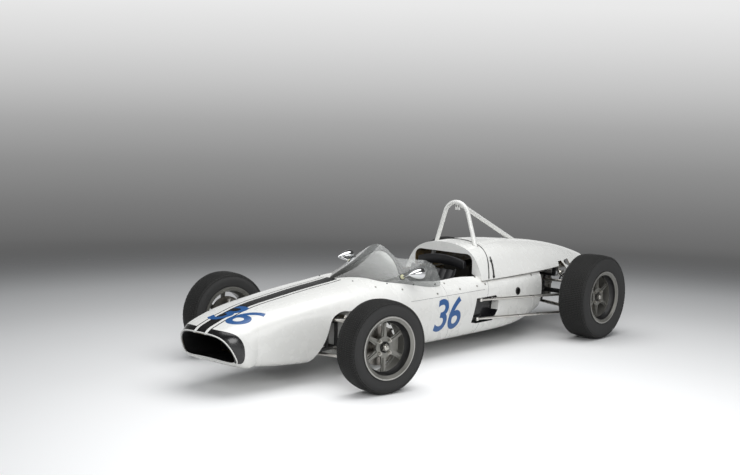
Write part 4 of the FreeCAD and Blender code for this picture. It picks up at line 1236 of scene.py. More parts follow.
@dataclass
class Livery(Assembly):
    """Blue race numbers on the nose and on both sides.

    Attributes:
        digits: The race number.
        height_mm: Height of the digits on the sides.
        type_factor: Size of the type against the height of its digits.
        slant: Slant of the digits.
        boldness: How far their outline grows, in metres.
        spacing: Distance of the digits against plain type.
        cell_mm: Size of the cells that they are cut into.
        cut_shift: Shift of the cuts off the middle, in metres.
        reach: Half size of the cut area, in metres.
        film: Height over the skin, in metres.
        side_centre: Middle of the side numbers ahead and up, in metres.
        nose_centre: Middle of the nose number ahead and to the left, in metres.
        nose_scale: Size of the nose number against them.
    """

    digits: str = "36"
    height_mm: float = 200.0
    type_factor: float = 1.40
    slant: float = 0.33
    boldness: float = 0.0045
    spacing: float = 0.93
    cell_mm: float = 9.0
    cut_shift: float = 0.0011
    reach: float = 0.26
    film: float = 0.0006
    side_centre: tuple[float, float] = (0.132, 0.192)
    nose_centre: tuple[float, float] = (1.768, 0.037)
    nose_scale: float = 1.03

    def build(self) -> None:
        """Lay all three numbers on the body."""
        skin = Skin(self.frame, ["nose_body", "tub"])
        for hand, name in HANDS:
            self.lay("side_number_" + name, skin, partial(self.side_ray, hand), 1.0)
        self.lay("nose_number", skin, self.nose_ray, self.nose_scale)

    def side_ray(self, hand: int, u: float, v: float) -> tuple[Vector, Vector]:
        """Ray to the body's side.

        Args:
            hand: One for the left side, minus one for the right.
            u: Place to the right in the flat drawing.
            v: Place upward in it.

        Returns:
            Start and direction of the ray.
        """
        x, z = self.side_centre
        return Vector((x - hand * u, hand * OUTSIDE, z + v)), Vector((0, -hand, 0))

    def nose_ray(self, u: float, v: float) -> tuple[Vector, Vector]:
        """Ray down to the nose.

        Args:
            u: Place to the right in the flat drawing.
            v: Place upward in it.

        Returns:
            Start and direction of the ray.
        """
        x, y = self.nose_centre
        return Vector((x - v, y + u, OUTSIDE)), -UP

    def lay(
        self, name: str, skin: Skin, ray: Callable[[float, float], tuple[Vector, Vector]], scale: float
    ) -> None:
        """Draw the digits flat, cut them small and lay them on the skin.

        Args:
            name: Name of the piece.
            skin: Skin that carries the digits.
            ray: Gives the ray through a place in the flat drawing.
            scale: Size against the plain height.
        """
        curve = bpy.data.curves.new(name, "FONT")
        curve.body = self.digits
        curve.size = self.height_mm * MM * self.type_factor * scale
        curve.shear = self.slant
        curve.offset = self.boldness
        curve.space_character = self.spacing
        curve.align_x = "CENTER"
        bench = Bench()
        bench.take(bpy.data.objects.new(name, curve))
        mesh = bench.mesh
        bmesh.ops.remove_doubles(mesh, verts=mesh.verts, dist=1e-5)
        cell = self.cell_mm * MM
        cuts = int(self.reach / cell)
        for normal in (FORWARDS, LEFTWARDS):
            for index in range(-cuts, cuts + 1):
                geometry = list(mesh.verts) + list(mesh.edges) + list(mesh.faces)
                place = normal * (index * cell + self.cut_shift)
                bmesh.ops.bisect_plane(mesh, geom=geometry, plane_co=place, plane_no=normal)
        for vert in mesh.verts:
            origin, direction = ray(vert.co.x, vert.co.y)
            point, outward = skin.below(origin, direction)
            vert.co = point + outward * self.film
        bench.place(name, "chassis", BLUE_VINYL, smooth=80.0)


@dataclass
class Screen(Assembly):
    """Clear screen with the screws along its foot.

    Attributes:
        screws: Places of the screws ahead and up, in metres.
        screw_profile: Heights and radii of a screw's head, in metres.
    """

    screws: tuple[tuple[float, float], ...] = ((0.778, 0.547), (0.570, 0.523), (0.361, 0.498), (0.178, 0.486))
    screw_profile: Profile = ((0.0, 0.0055), (0.001, 0.0055), (0.0028, 0.0035), (0.0034, 0.0))

    def build(self) -> None:
        """Dress the screen and add its screws."""
        self.dress(ACRYLIC, "windscreen")
        skin = Skin(self.frame, ["windscreen", "nose_body"])
        bench = Bench()
        for hand, _ in HANDS:
            for x, z in self.screws:
                point, normal = skin.side(x, z, hand)
                bench.lathe(self.screw_profile, point, normal, 14)
        bench.place("screen_screws", "chassis", BLACK_STEEL)


@dataclass
class Mirrors(Assembly):
    """Chrome bullet mirrors on stalks.

    Lengths are in millimetres where their line doesn't say metres.

    Attributes:
        mirrors: Name, side, station and height of each.
        across: Distance of a shell from the middle line.
        shell_back: How far the glass end lies behind the station.
        foot_shift: How far a stalk's foot lies behind and below it.
        shell: Distances ahead of the glass end and radii.
        neck: Where the stalk meets the shell, in metres ahead of that end.
        stalk_radius: Radius of the stalk, in metres.
        glass_profile: Distances ahead of the glass end and radii, in metres.
        washer_profile: Heights over the screen and radii of the nylon washer, in metres.
        pad_profile: The same of the rubber pad under it.
    """

    mirrors: tuple[tuple[str, int, float, float], ...] = (
        ("mirror_left", 1, 650, 578), ("mirror_right", -1, 720, 615),
    )
    across: float = 338
    shell_back: float = 108
    foot_shift: tuple[float, float] = (14, 25)
    shell: Profile = (
        (4, 33.5), (0, 35), (0.5, 36.5), (3, 37), (10, 37), (32, 34.5),
        (58, 28.5), (82, 20.5), (102, 12), (114, 6), (120, 2.5), (122, 0),
    )
    neck: float = 0.100
    stalk_radius: float = 0.0048
    glass_profile: Profile = ((0.0035, 0.034), (0.0032, 0.018), (0.0030, 0.0))
    washer_profile: Profile = (
        (0.0015, 0.015), (0.005, 0.0155), (0.007, 0.014), (0.009, 0.006), (0.009, 0.0),
    )
    pad_profile: Profile = ((-0.001, 0.0), (-0.001, 0.020), (0.001, 0.020), (0.002, 0.018), (0.002, 0.0))

    def build(self) -> None:
        """Build both mirrors in place of their solids."""
        skin = Skin(self.frame, ["windscreen"])
        behind, lower = self.foot_shift
        for name, hand, station, height in self.mirrors:
            back = at(station + self.shell_back, hand * self.across, height)
            beside = at(station + behind, 0, height - lower)
            foot, outward = skin.side(beside.x, beside.z, hand)
            bench = Bench()
            bench.lathe(metres(self.shell), back, FORWARDS, 40)
            bench.bar(foot, back + FORWARDS * self.neck, self.stalk_radius, segments=14)
            piece = bench.place(name + "_shell", "chassis", CHROME, "mirror_chrome")
            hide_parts(name)
            for suffix, profile, centre, axis, steps, finish in (
                ("_glass", self.glass_profile, back, FORWARDS, 40, MIRROR_GLASS),
                ("_washer", self.washer_profile, foot, outward, 24, CREAM_NYLON),
                ("_pad", self.pad_profile, foot, outward, 24, SOFT_RUBBER),
            ):
                bench = Bench()
                bench.lathe(profile, centre, axis, steps)
                bench.place(name + suffix, "chassis", finish)


@dataclass
class Cockpit(Assembly):
    """Seat, dash, steering wheel and gear lever.

    Attributes:
        seat_line: Stations and heights along the middle of the seat, in millimetres.
        seat_half: Half width of the seat, in millimetres.
        channels: Sewn channels across the seat.
        channel_rise: Height of the padding between two seams, in metres.
        channel_power: How flat the channels are, lower for flatter.
        bolster: Height in metres, start and power of the raised sides.
        pad_thickness: Thickness of the padding, in metres.
        panel_low: Rear, right and low corner of the top panel, in millimetres.
        panel_high: Its opposite corner.
        panel_waist: Its thickness at the middle, and how much less at the edges.
        panel_sweep: How far its ends go back and down, in metres.
        dash_station: Station of the strips round the dash, in millimetres.
        dash_base: Height of their ends, in millimetres.
        dash_points: Control points of a strip.
        dash_edges: Name, finish, half width, rise and radius of each strip, in millimetres.
        dial_station: Station of the dials' backs, in millimetres.
        dials: Place to the left, height and radius of each dial, in millimetres.
        bezel_profile: Distances out of the dash, and into the dial from its radius, in metres.
        dial_depth: Distance of the faces out of the dash, in metres.
        dial_marks: Number of marks of a dial.
        first_mark: Angle of the first mark, in degrees.
        mark_step: Angle between two marks.
    """

    seat_line: tuple[tuple[float, float], ...] = (
        (905, 196), (960, 178), (1020, 170), (1090, 176), (1150, 194),
        (1200, 262), (1255, 358), (1310, 452), (1352, 526),
    )
    seat_half: float = 196.0
    channels: int = 7
    channel_rise: float = 0.013
    channel_power: float = 0.6
    bolster: tuple[float, float, float] = (0.045, 0.72, 1.5)
    pad_thickness: float = 0.018
    panel_low: tuple[float, float, float] = (1398, -200, 548)
    panel_high: tuple[float, float, float] = (1368, 200, 612)
    panel_waist: tuple[float, float] = (1.25, 0.55)
    panel_sweep: tuple[float, float] = (0.012, 0.030)
    dash_station: float = 757
    dash_base: float = 470
    dash_points: int = 13
    dash_edges: tuple[tuple[str, Finish, float, float, float], ...] = (
        ("dash_edging", SOFT_RUBBER, 173, 219, 9), ("dash_strip", TUBE_WHITE, 160, 206, 4.5),
    )
    dial_station: float = 766.3
    dials: tuple[tuple[float, float, float], ...] = (
        (0, 560, 50), (-98, 548, 28), (98, 548, 28), (-60, 620, 22), (60, 620, 22),
    )
    bezel_profile: Profile = ((0.0, 0.0), (0.010, 0.0), (0.012, 0.002), (0.012, 0.004), (0.006, 0.005))
    dial_depth: float = 0.005
    dial_marks: int = 11
    first_mark: float = 220
    mark_step: float = 26

    def build(self) -> None:
        """Build everything that the driver touches."""
        self.add_seat()
        self.add_roll()
        self.add_dash()
        self.add_dials()
        self.add_wheel()
        self.add_lever()
        self.dress(NICKEL, "steering_column")

    def add_seat(self) -> None:
        """Channelled seat pad on the line of the solid one."""
        bench = Bench()
        last = len(self.seat_line) - 1
        grid = bmesh.ops.create_grid(bench.mesh, x_segments=self.channels * 8, y_segments=last, size=1.0)
        for vert in grid["verts"]:
            vert.co = self.seat_point(vert.co.x, round((vert.co.y + 1) / 2 * last))
        bmesh.ops.solidify(bench.mesh, geom=list(bench.mesh.faces), thickness=self.pad_thickness)
        seat = bench.place("seat_pad", "chassis", SEAT_VINYL, "seat_black", smooth=80.0)
        soften(seat, 1)
        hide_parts("seat")

    def seat_point(self, share: float, index: int) -> Vector:
        """Point of the padded seat.

        Args:
            share: Place to the left as a share of the half width.
            index: Number of the point on the seat's line.

        Returns:
            The point, in metres.
        """
        line = self.seat_line
        station, height = line[index]
        before, after = line[max(index - 1, 0)], line[min(index + 1, len(line) - 1)]
        along = (at(after[0], 0, after[1]) - at(before[0], 0, before[1])).normalized()
        outward = along.cross(LEFTWARDS)
        if outward.z < 0:
            outward = -outward
        wave = abs(math.sin(math.pi * self.channels * (share + 1) / 2)) ** self.channel_power
        rise, start, power = self.bolster
        side = rise * max(0.0, abs(share) - start) ** power / (1 - start) ** power
        return at(station, share * self.seat_half, height) + outward * (self.channel_rise * wave + side)

    def add_roll(self) -> None:
        """Padded panel along the seat's top, pulled in at its ends."""
        bench = Bench()
        low, high = at(*self.panel_low), at(*self.panel_high)
        middle = (low + high) / 2
        bench.block(low, high)
        bmesh.ops.subdivide_edges(bench.mesh, edges=list(bench.mesh.edges), cuts=5, use_grid_fill=True)
        thick, thinner = self.panel_waist
        back, down = self.panel_sweep
        for vert in bench.mesh.verts:
            share = abs(vert.co.y) / high.y
            rise = (vert.co.z - middle.z) / (high.z - low.z) * 2
            waist = thick - thinner * rise * rise
            vert.co.x = middle.x + (vert.co.x - middle.x) * waist - back * share * share
            vert.co.z -= down * share * share
        panel = bench.place("seat_top_panel", "chassis", SEAT_VINYL, "seat_black", smooth=80.0)
        soften(panel, 2)

    def add_dash(self) -> None:
        """Black edging and white strip round the dash's top."""
        self.dress(DASH_BLACK, "dash_panel")
        for name, finish, half, rise, radius in self.dash_edges:
            rim = Bench()
            arch = []
            for index in range(self.dash_points):
                angle = math.pi * (0.02 + 0.96 * index / (self.dash_points - 1))
                across, height = half * math.cos(angle), self.dash_base + rise * math.sin(angle)
                arch.append(at(self.dash_station, across, height))
            rim.tube(arch, radius * MM)
            rim.place(name, "chassis", finish)

    def add_dials(self) -> None:
        """Dials with their rims, marks and needles."""
        bezels = Bench()
        faces = Bench()
        marks = Bench()
        for y, z, radius_mm in self.dials:
            centre = at(self.dial_station, y, z)
            radius = radius_mm * MM
            bezel = [(out, radius - less) for out, less in self.bezel_profile]
            bezels.lathe(bezel, centre, -FORWARDS, 32)
            faces.lathe([(self.dial_depth, radius - 0.004), (self.dial_depth, 0.0)], centre, -FORWARDS, 32)
            for tick in range(self.dial_marks):
                angle = math.radians(self.first_mark - tick * self.mark_step)
                out = Vector((0, -math.cos(angle), math.sin(angle)))
                start = centre - FORWARDS * (self.dial_depth + 0.0005) + out * (radius * 0.66)
                marks.bar(start, start + out * radius * 0.16, 0.0008, segments=4)
            pivot = centre - FORWARDS * (self.dial_depth + 0.001)
            marks.bar(pivot, pivot + Vector((0, 0.64, 0.77)) * radius * 0.62, 0.0012, 0.0005, 6)
        bezels.place("dial_rims", "chassis", BRIGHT_STEEL)
        faces.place("dial_faces", "chassis", DIAL_FACE)
        marks.place("dial_marks", "chassis", DIAL_MARK)

    def add_wheel(self) -> None:
        """Leather steering wheel with three plain alloy spokes."""
        centre = at(850, 0, 505)
        foot = at(110 * math.cos(REST_STEER) + 14, 0, 390)
        axis = (centre - foot).normalized()
        bench = Bench()
        turns = [math.tau * index / 14 for index in range(14)]
        ring = [(0.012 * math.cos(turn), 0.128 + 0.012 * math.sin(turn)) for turn in turns]
        bench.lathe(ring, centre, axis, 72, closed=True)
        grip = bench.place("wheel_grip", "steering", GRIP_LEATHER, "grip_black")
        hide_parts("steering_wheel")
        upwards = axis.cross(LEFTWARDS)
        upwards = upwards if upwards.z > 0 else -upwards
        self.add_spokes(centre, axis, upwards)
        bolts = Bench()
        for index in range(6):
            angle = math.tau * index / 6
            out = LEFTWARDS * math.cos(angle) + upwards * math.sin(angle)
            spot = centre + out * 0.018
            bolts.bar(spot + axis * 0.012, spot + axis * 0.017, 0.003, segments=6)
        bolts.place("wheel_hub_bolts", "steering", BLACK_STEEL)

    def add_spokes(self, centre: Vector, axis: Vector, upwards: Vector) -> None:
        """Hub and three spokes of the steering wheel.

        Args:
            centre: Middle of the wheel, in metres.
            axis: Direction of its axis, towards the driver.
            upwards: Direction to its top.
        """
        spokes = Bench()
        hub = [(-0.014, 0.0), (-0.014, 0.026), (0.010, 0.026), (0.013, 0.022), (0.014, 0.012), (0.014, 0.0)]
        spokes.lathe(hub, centre, axis, 32)
        sides = ((0.018, 0.014), (0.07, 0.010), (0.124, 0.014))
        outline = sides + tuple((reach, -half) for reach, half in reversed(sides))
        for degrees in (-90, 0, 180):
            angle = math.radians(degrees)
            out = LEFTWARDS * math.cos(angle) + upwards * math.sin(angle)
            side = axis.cross(out)
            corners = [centre + out * reach + side * half - axis * 0.0018 for reach, half in outline]
            spokes.plate(corners, axis * 0.0036, 0.0008)
        spokes.place("wheel_spokes", "steering", BRIGHT_STEEL)

    def add_lever(self) -> None:
        """Short gear lever on the right, with its round knob."""
        bench = Bench()
        bench.bar(at(940, -236, 370), at(925, -226, 452), 0.006)
        bench.bar(at(905, -246, 352), at(975, -246, 352), 0.012)
        bench.bar(at(940, -246, 352), at(940, -234, 378), 0.012)
        bench.place("gear_lever", "chassis", BRIGHT_STEEL)
        knob = Bench()
        knob.ball(at(923, -225, 462), 0.017, 24)
        knob.place("gear_knob", "chassis", SOFT_RUBBER)


@dataclass
class RollBar(Assembly):
    """White roll hoop with the bolts in its top.

    Attributes:
        bolt_places: Places of the bolts to the left, in millimetres.
        bolt_ends: Stations of a bolt's ends.
        bolt_height: Height of the bolts.
    """

    bolt_places: tuple[float, ...] = (-12, 12)
    bolt_ends: tuple[float, float] = (1553, 1566)
    bolt_height: float = 930

    def build(self) -> None:
        """Dress the hoop and add its bolts."""
        self.dress(TUBE_WHITE, "roll_hoop")
        bench = Bench()
        for y in self.bolt_places:
            front, back = (at(station, y, self.bolt_height) for station in self.bolt_ends)
            bench.bar(front, back, 0.005, segments=6)
        bench.place("hoop_bolts", "chassis", BRIGHT_STEEL)


@dataclass
class Cooling(Assembly):
    """Radiator with the tubes of its core and its pipe stubs.

    Lengths are in millimetres.

    Attributes:
        tubes: Number of flat tubes, drawn fewer and thicker than real so that they show.
        first_tube: Height of the lowest.
        tube_step: Distance between two.
        tube_size: Depth ahead of the core, half length and thickness of one.
        core_face: Station of the core's face.
        stub_ends: Stations of a pipe stub's ends.
        stub_place: Distance of the stubs from the middle line, and their height.
    """

    tubes: int = 17
    first_tube: float = 184
    tube_step: float = 11.5
    tube_size: tuple[float, float, float] = (2.5, 190, 2.2)
    core_face: float = -419
    stub_ends: tuple[float, float] = (-374, -352)
    stub_place: tuple[float, float] = (205, 210)

    def build(self) -> None:
        """Dress the core and add its tubes and stubs."""
        self.dress(CORE_BLACK, "radiator")
        depth, half, thickness = self.tube_size
        bench = Bench()
        for index in range(self.tubes):
            z = self.first_tube + index * self.tube_step
            bench.block(at(self.core_face, -half, z), at(self.core_face - depth, half, z + thickness))
        bench.place("radiator_tubes", "chassis", BLACK_STEEL)
        across, height = self.stub_place
        stubs = Bench()
        for hand, _ in HANDS:
            front, back = (at(station, hand * across, height) for station in self.stub_ends)
            stubs.bar(front, back, 0.014)
        stubs.place("radiator_stubs", "chassis", BRASS)


class Corner(Enum):
    """The four wheels: name, left or right, and front or rear."""

    FRONT_LEFT = ("fl", 1, True)
    FRONT_RIGHT = ("fr", -1, True)
    REAR_LEFT = ("rl", 1, False)
    REAR_RIGHT = ("rr", -1, False)

    @property
    def key(self) -> str:
        """Short name of the corner."""
        return self.value[0]

    @property
    def hand(self) -> int:
        """One on the left and minus one on the right."""
        return self.value[1]

    @property
    def front(self) -> bool:
        """True for a front wheel."""
        return self.value[2]


@dataclass(frozen=True)
class WheelSize:
    """Sizes of a front or a rear wheel, in millimetres.

    Attributes:
        radius: Outer radius of the tyre.
        half: Half its width.
        rim_half: Half the rim's width.
        dish: Depth of the hub's face behind the rim's lip.
        track_half: Distance of the wheel from the middle line.
        station: Distance behind the front axle.
        rows: Rows of blocks across the tread.
    """

    radius: float
    half: float
    rim_half: float
    dish: float
    track_half: float
    station: float
    rows: int


FRONT_WHEEL = WheelSize(270.5, 84.0, 75.0, 50.0, 686.0, 0.0, 12)
REAR_WHEEL = WheelSize(REAR_AXLE_HEIGHT, 103.0, 93.0, 58.0, 649.0, REAR_AXLE_STATION, 15)


@dataclass
class Wheel(Assembly):
    """Tyre, rim fittings and disc of one corner, made about the wheel's own centre.

    Lengths are in millimetres, and profiles are distances outward from the rim's half width and
    radii.

    Attributes:
        corner: Which wheel it is.
        kingpin: Distance of the steering axis from the middle line.
        lip_width: How far the rim's lip stands past its half width.
        block_depth: Height of the tread blocks.
        tread_blocks: Blocks around tread and shoulder, for each millimetre of radius.
        grooves: Half the width of a groove in tread and shoulder.
        crown_drop: Fall of the tread at its edges, and the share of its half width where that starts.
        bolt_circle: Radius of the circle of wheel bolts.
        bolt_count: Number of wheel bolts.
        edge_profile: The rim's machined edge.
        shade_liner_profile: Black ring inside its barrel, painted shade in the rim's dish.
    """

    corner: Corner = Corner.FRONT_LEFT
    kingpin: float = 620.0
    lip_width: float = 7.0
    block_depth: float = 3.4
    tread_blocks: tuple[float, float] = (0.5, 0.25)
    grooves: tuple[float, float] = (1.7, 2.2)
    crown_drop: tuple[float, float] = (7.0, 0.45)
    bolt_circle: float = 49.0
    bolt_count: int = 4
    edge_profile: Profile = (
        (5.5, 184.6), (7.2, 184.4), (7.8, 182.6), (7.8, 178.4), (7.2, 176.8), (5.5, 176.6),
    )
    shade_liner_profile: Profile = (
        (-4.0, 158.5), (-21.0, 158.5), (-41.5, 142.9), (-41.5, 142.4), (-20.5, 157.6), (-4.0, 157.9),
    )

    @property
    def size(self) -> WheelSize:
        """Sizes of this wheel."""
        return FRONT_WHEEL if self.corner.front else REAR_WHEEL

    @property
    def face(self) -> float:
        """Distance in metres from the wheel's centre to the hub's outer face."""
        return (self.size.rim_half + self.lip_width - self.size.dish) * MM

    def matrix(self) -> Matrix:
        """Move from the wheel's own centre to its place on the car.

        Returns:
            The matrix, which mirrors the right wheels.
        """
        hand, size = self.corner.hand, self.size
        centre = at(size.station, hand * size.track_half, size.radius)
        flip = Matrix.Identity(4) if hand > 0 else Matrix.Scale(-1, 4, LEFTWARDS)
        move = Matrix.Translation(centre) @ flip
        if not self.corner.front:
            return move
        pivot = at(0, hand * self.kingpin, 0)
        turn = Matrix.Translation(pivot) @ Matrix.Rotation(REST_STEER, 4, "Z") @ Matrix.Translation(-pivot)
        return turn @ move

    def fit(self, bench: Bench, name: str, finish: Finish, slot: str = "") -> Object:
        """Finish a piece and put it in its place on this wheel.

        Args:
            bench: Bench of the piece.
            name: Name of the piece without the corner's.
            finish: Its finish.
            slot: Name of a material slot of the record, where there is one, handed on when the piece is
                placed.

        Returns:
            The new object.
        """
        key = self.corner.key
        return bench.place(f"{name}_{key}", "wheel_" + key, finish, slot, self.matrix())

    def build(self) -> None:
        """Build the tyre and the fittings, and dress the rest."""
        self.dress(WHEEL_CASTING, "rim_" + self.corner.key)
        self.dress(TURNED_IRON, "disc_" + self.corner.key)
        self.add_tyre()
        self.add_hub()
        self.add_rim_rings()

    def add_tyre(self) -> None:
        """Tyre with its small blocks and shoulder slots, drawn coarser than real so that they show; the block
        tops get the lighter rubber, partly a painted highlight.
        """
        bench = Bench()
        r, h, bead = self.size.radius, self.size.half, self.size.rim_half - 0.3
        wall = [
            (bead, 167.5), (bead, 186), (bead + 2.5, 189), (bead + 5.5, 196), (h - 3.5, 203), (h - 2.6, 205),
            (h - 2.6, 207), (h - 1.5, 210), (h, 226), (h - 0.3, r - 36), (h - 2, r - 30), (h - 3.5, r - 28),
            (h - 4.5, r - 22), (h - 10, r - 14.5), (h - 18, r - 9.5), (h * 0.6, r - 5), (h * 0.3, r - 4),
        ]
        inner = [(h * 0.6, r - 14), (h - 12, r - 40), (bead - 4, 190), (bead - 16, 167.5)]
        far_wall, far_inner = ([(-y, radius) for y, radius in reversed(side)] for side in (wall, inner))
        profile = wall + far_wall + far_inner + inner
        bench.lathe(metres(profile), Vector(), LEFTWARDS, 96, closed=True)
        tread, shoulders = (int(r * share) for share in self.tread_blocks)
        self.add_band(bench, self.crown(), tread, 0.3, self.grooves[0])
        for side in (1, -1):
            shoulder = [
                (side * (h - 15.5), r - 7.2), (side * (h - 9.0), r - 12.0), (side * (h - 4.2), r - 20.0),
            ]
            self.add_band(bench, shoulder, shoulders, 0.0, self.grooves[1])
        piece = self.fit(bench, "tread_tyre", RUBBER, "tyre_rubber")
        piece.data.materials.append(SCRUBBED_HIGHLIGHT_RUBBER.material())
        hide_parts("tyre_" + self.corner.key)

    def crown(self) -> list[tuple[float, float]]:
        """Rows across the tread, with the radius of each.

        Returns:
            Distances from the tyre's middle and radii.
        """
        rows = self.size.rows
        reach = self.size.half - 17
        fall, start = self.crown_drop
        line = []
        for index in range(rows + 1):
            y = reach * (index / rows * 2 - 1)
            drop = fall * max(0.0, (abs(y) / reach - start) / (1 - start)) ** 2
            line.append((y, self.size.radius - self.block_depth - drop))
        return line

    def add_band(self, bench: Bench, line: Profile, steps: int, zigzag: float, groove: float) -> None:
        """Ring of raised blocks, one to a face of a turned band.

        Args:
            bench: Bench of the tyre.
            line: Distances across and radii of the rows.
            steps: Blocks around.
            zigzag: How far each second row line is turned, in blocks.
            groove: Half the groove's width, in millimetres.
        """
        band = bmesh.new()
        verts = []
        for index, (y, radius) in enumerate(line):
            angle = math.tau / steps * zigzag * (index % 2)
            point = Vector((radius * math.sin(angle), y, radius * math.cos(angle)))
            verts.append(band.verts.new(point * MM))
        edges = [band.edges.new(pair) for pair in zip(verts, verts[1:])]
        bmesh.ops.spin(
            band, geom=verts + edges, cent=(0, 0, 0), axis=LEFTWARDS, dvec=(0, 0, 0), angle=math.tau,
            steps=steps, use_merge=True, use_normal_flip=False, use_duplicate=False,
        )
        bmesh.ops.remove_doubles(band, verts=band.verts, dist=1e-6)
        bmesh.ops.recalc_face_normals(band, faces=band.faces)
        first = next(iter(band.faces))
        middle = first.calc_center_median()
        if first.normal.dot(Vector((middle.x, 0, middle.z))) < 0:
            bmesh.ops.reverse_faces(band, faces=band.faces)
        tops = list(band.faces)
        bmesh.ops.inset_individual(
            band, faces=tops, thickness=groove * MM, depth=self.block_depth * MM, use_even_offset=True
        )
        # Block tops take the lighter scrubbed rubber, which also paints a highlight on the blocks.
        for top in tops:
            top.material_index = 1
        data = bpy.data.meshes.new("band")
        band.to_mesh(data)
        band.free()
        bench.mesh.from_mesh(data)
        bpy.data.meshes.remove(data)

    def add_hub(self) -> None:
        """Hub ring, hub nut and wheel bolts."""
        face = self.face
        ring = Bench()
        profile = [(0.0, 0.033), (0.003, 0.033), (0.004, 0.030), (0.002, 0.024), (0.0, 0.022)]
        ring.lathe([(face + out, radius) for out, radius in profile], Vector(), LEFTWARDS, 40)
        self.fit(ring, "hub_ring", BLACK_STEEL)
        nut = Bench()
        nut.bar(LEFTWARDS * face, LEFTWARDS * (face + 0.015), 0.023, segments=6, bevel=0.001)
        profile = [(0.015, 0.0195), (0.022, 0.0185), (0.026, 0.014), (0.028, 0.007), (0.0285, 0.0)]
        nut.lathe([(face + out, radius) for out, radius in profile], Vector(), LEFTWARDS, 28)
        washer, head, end = (LEFTWARDS * (face + out) for out in (0.002, 0.011, 0.016))
        for index in range(self.bolt_count):
            angle = math.radians(45 + 90 * index)
            spot = Vector((math.cos(angle), 0, math.sin(angle))) * (self.bolt_circle * MM)
            nut.bar(spot + LEFTWARDS * face, spot + washer, 0.0125, segments=20)
            nut.bar(spot + washer, spot + head, 0.0098, segments=6, bevel=0.0008)
            nut.bar(spot + head, spot + end, 0.0055, segments=12)
        self.fit(nut, "hub_nuts", BRIGHT_STEEL)

    def add_rim_rings(self) -> None:
        """Machined edge of the rim, a black ring of painted shade inside its barrel, and the valve."""
        # The liner is a black ring that paints the shade inside the barrel.
        for name, profile, finish in (
            ("rim_edge", self.edge_profile, POLISHED_EDGE), ("rim_shade_liner", self.shade_liner_profile, TUBE_BLACK),
        ):
            ring = Bench()
            line = [(self.size.rim_half + along, radius) for along, radius in profile]
            ring.lathe(metres(line), Vector(), LEFTWARDS, 96, closed=True)
            self.fit(ring, name, finish)
        valve = Bench()
        start = Vector((0.0, (self.size.rim_half - 22) * MM, 0.150))
        valve.bar(start, start + Vector((0, 0.022, -0.012)), 0.0042, segments=12)
        self.fit(valve, "tyre_valve", SOFT_RUBBER)


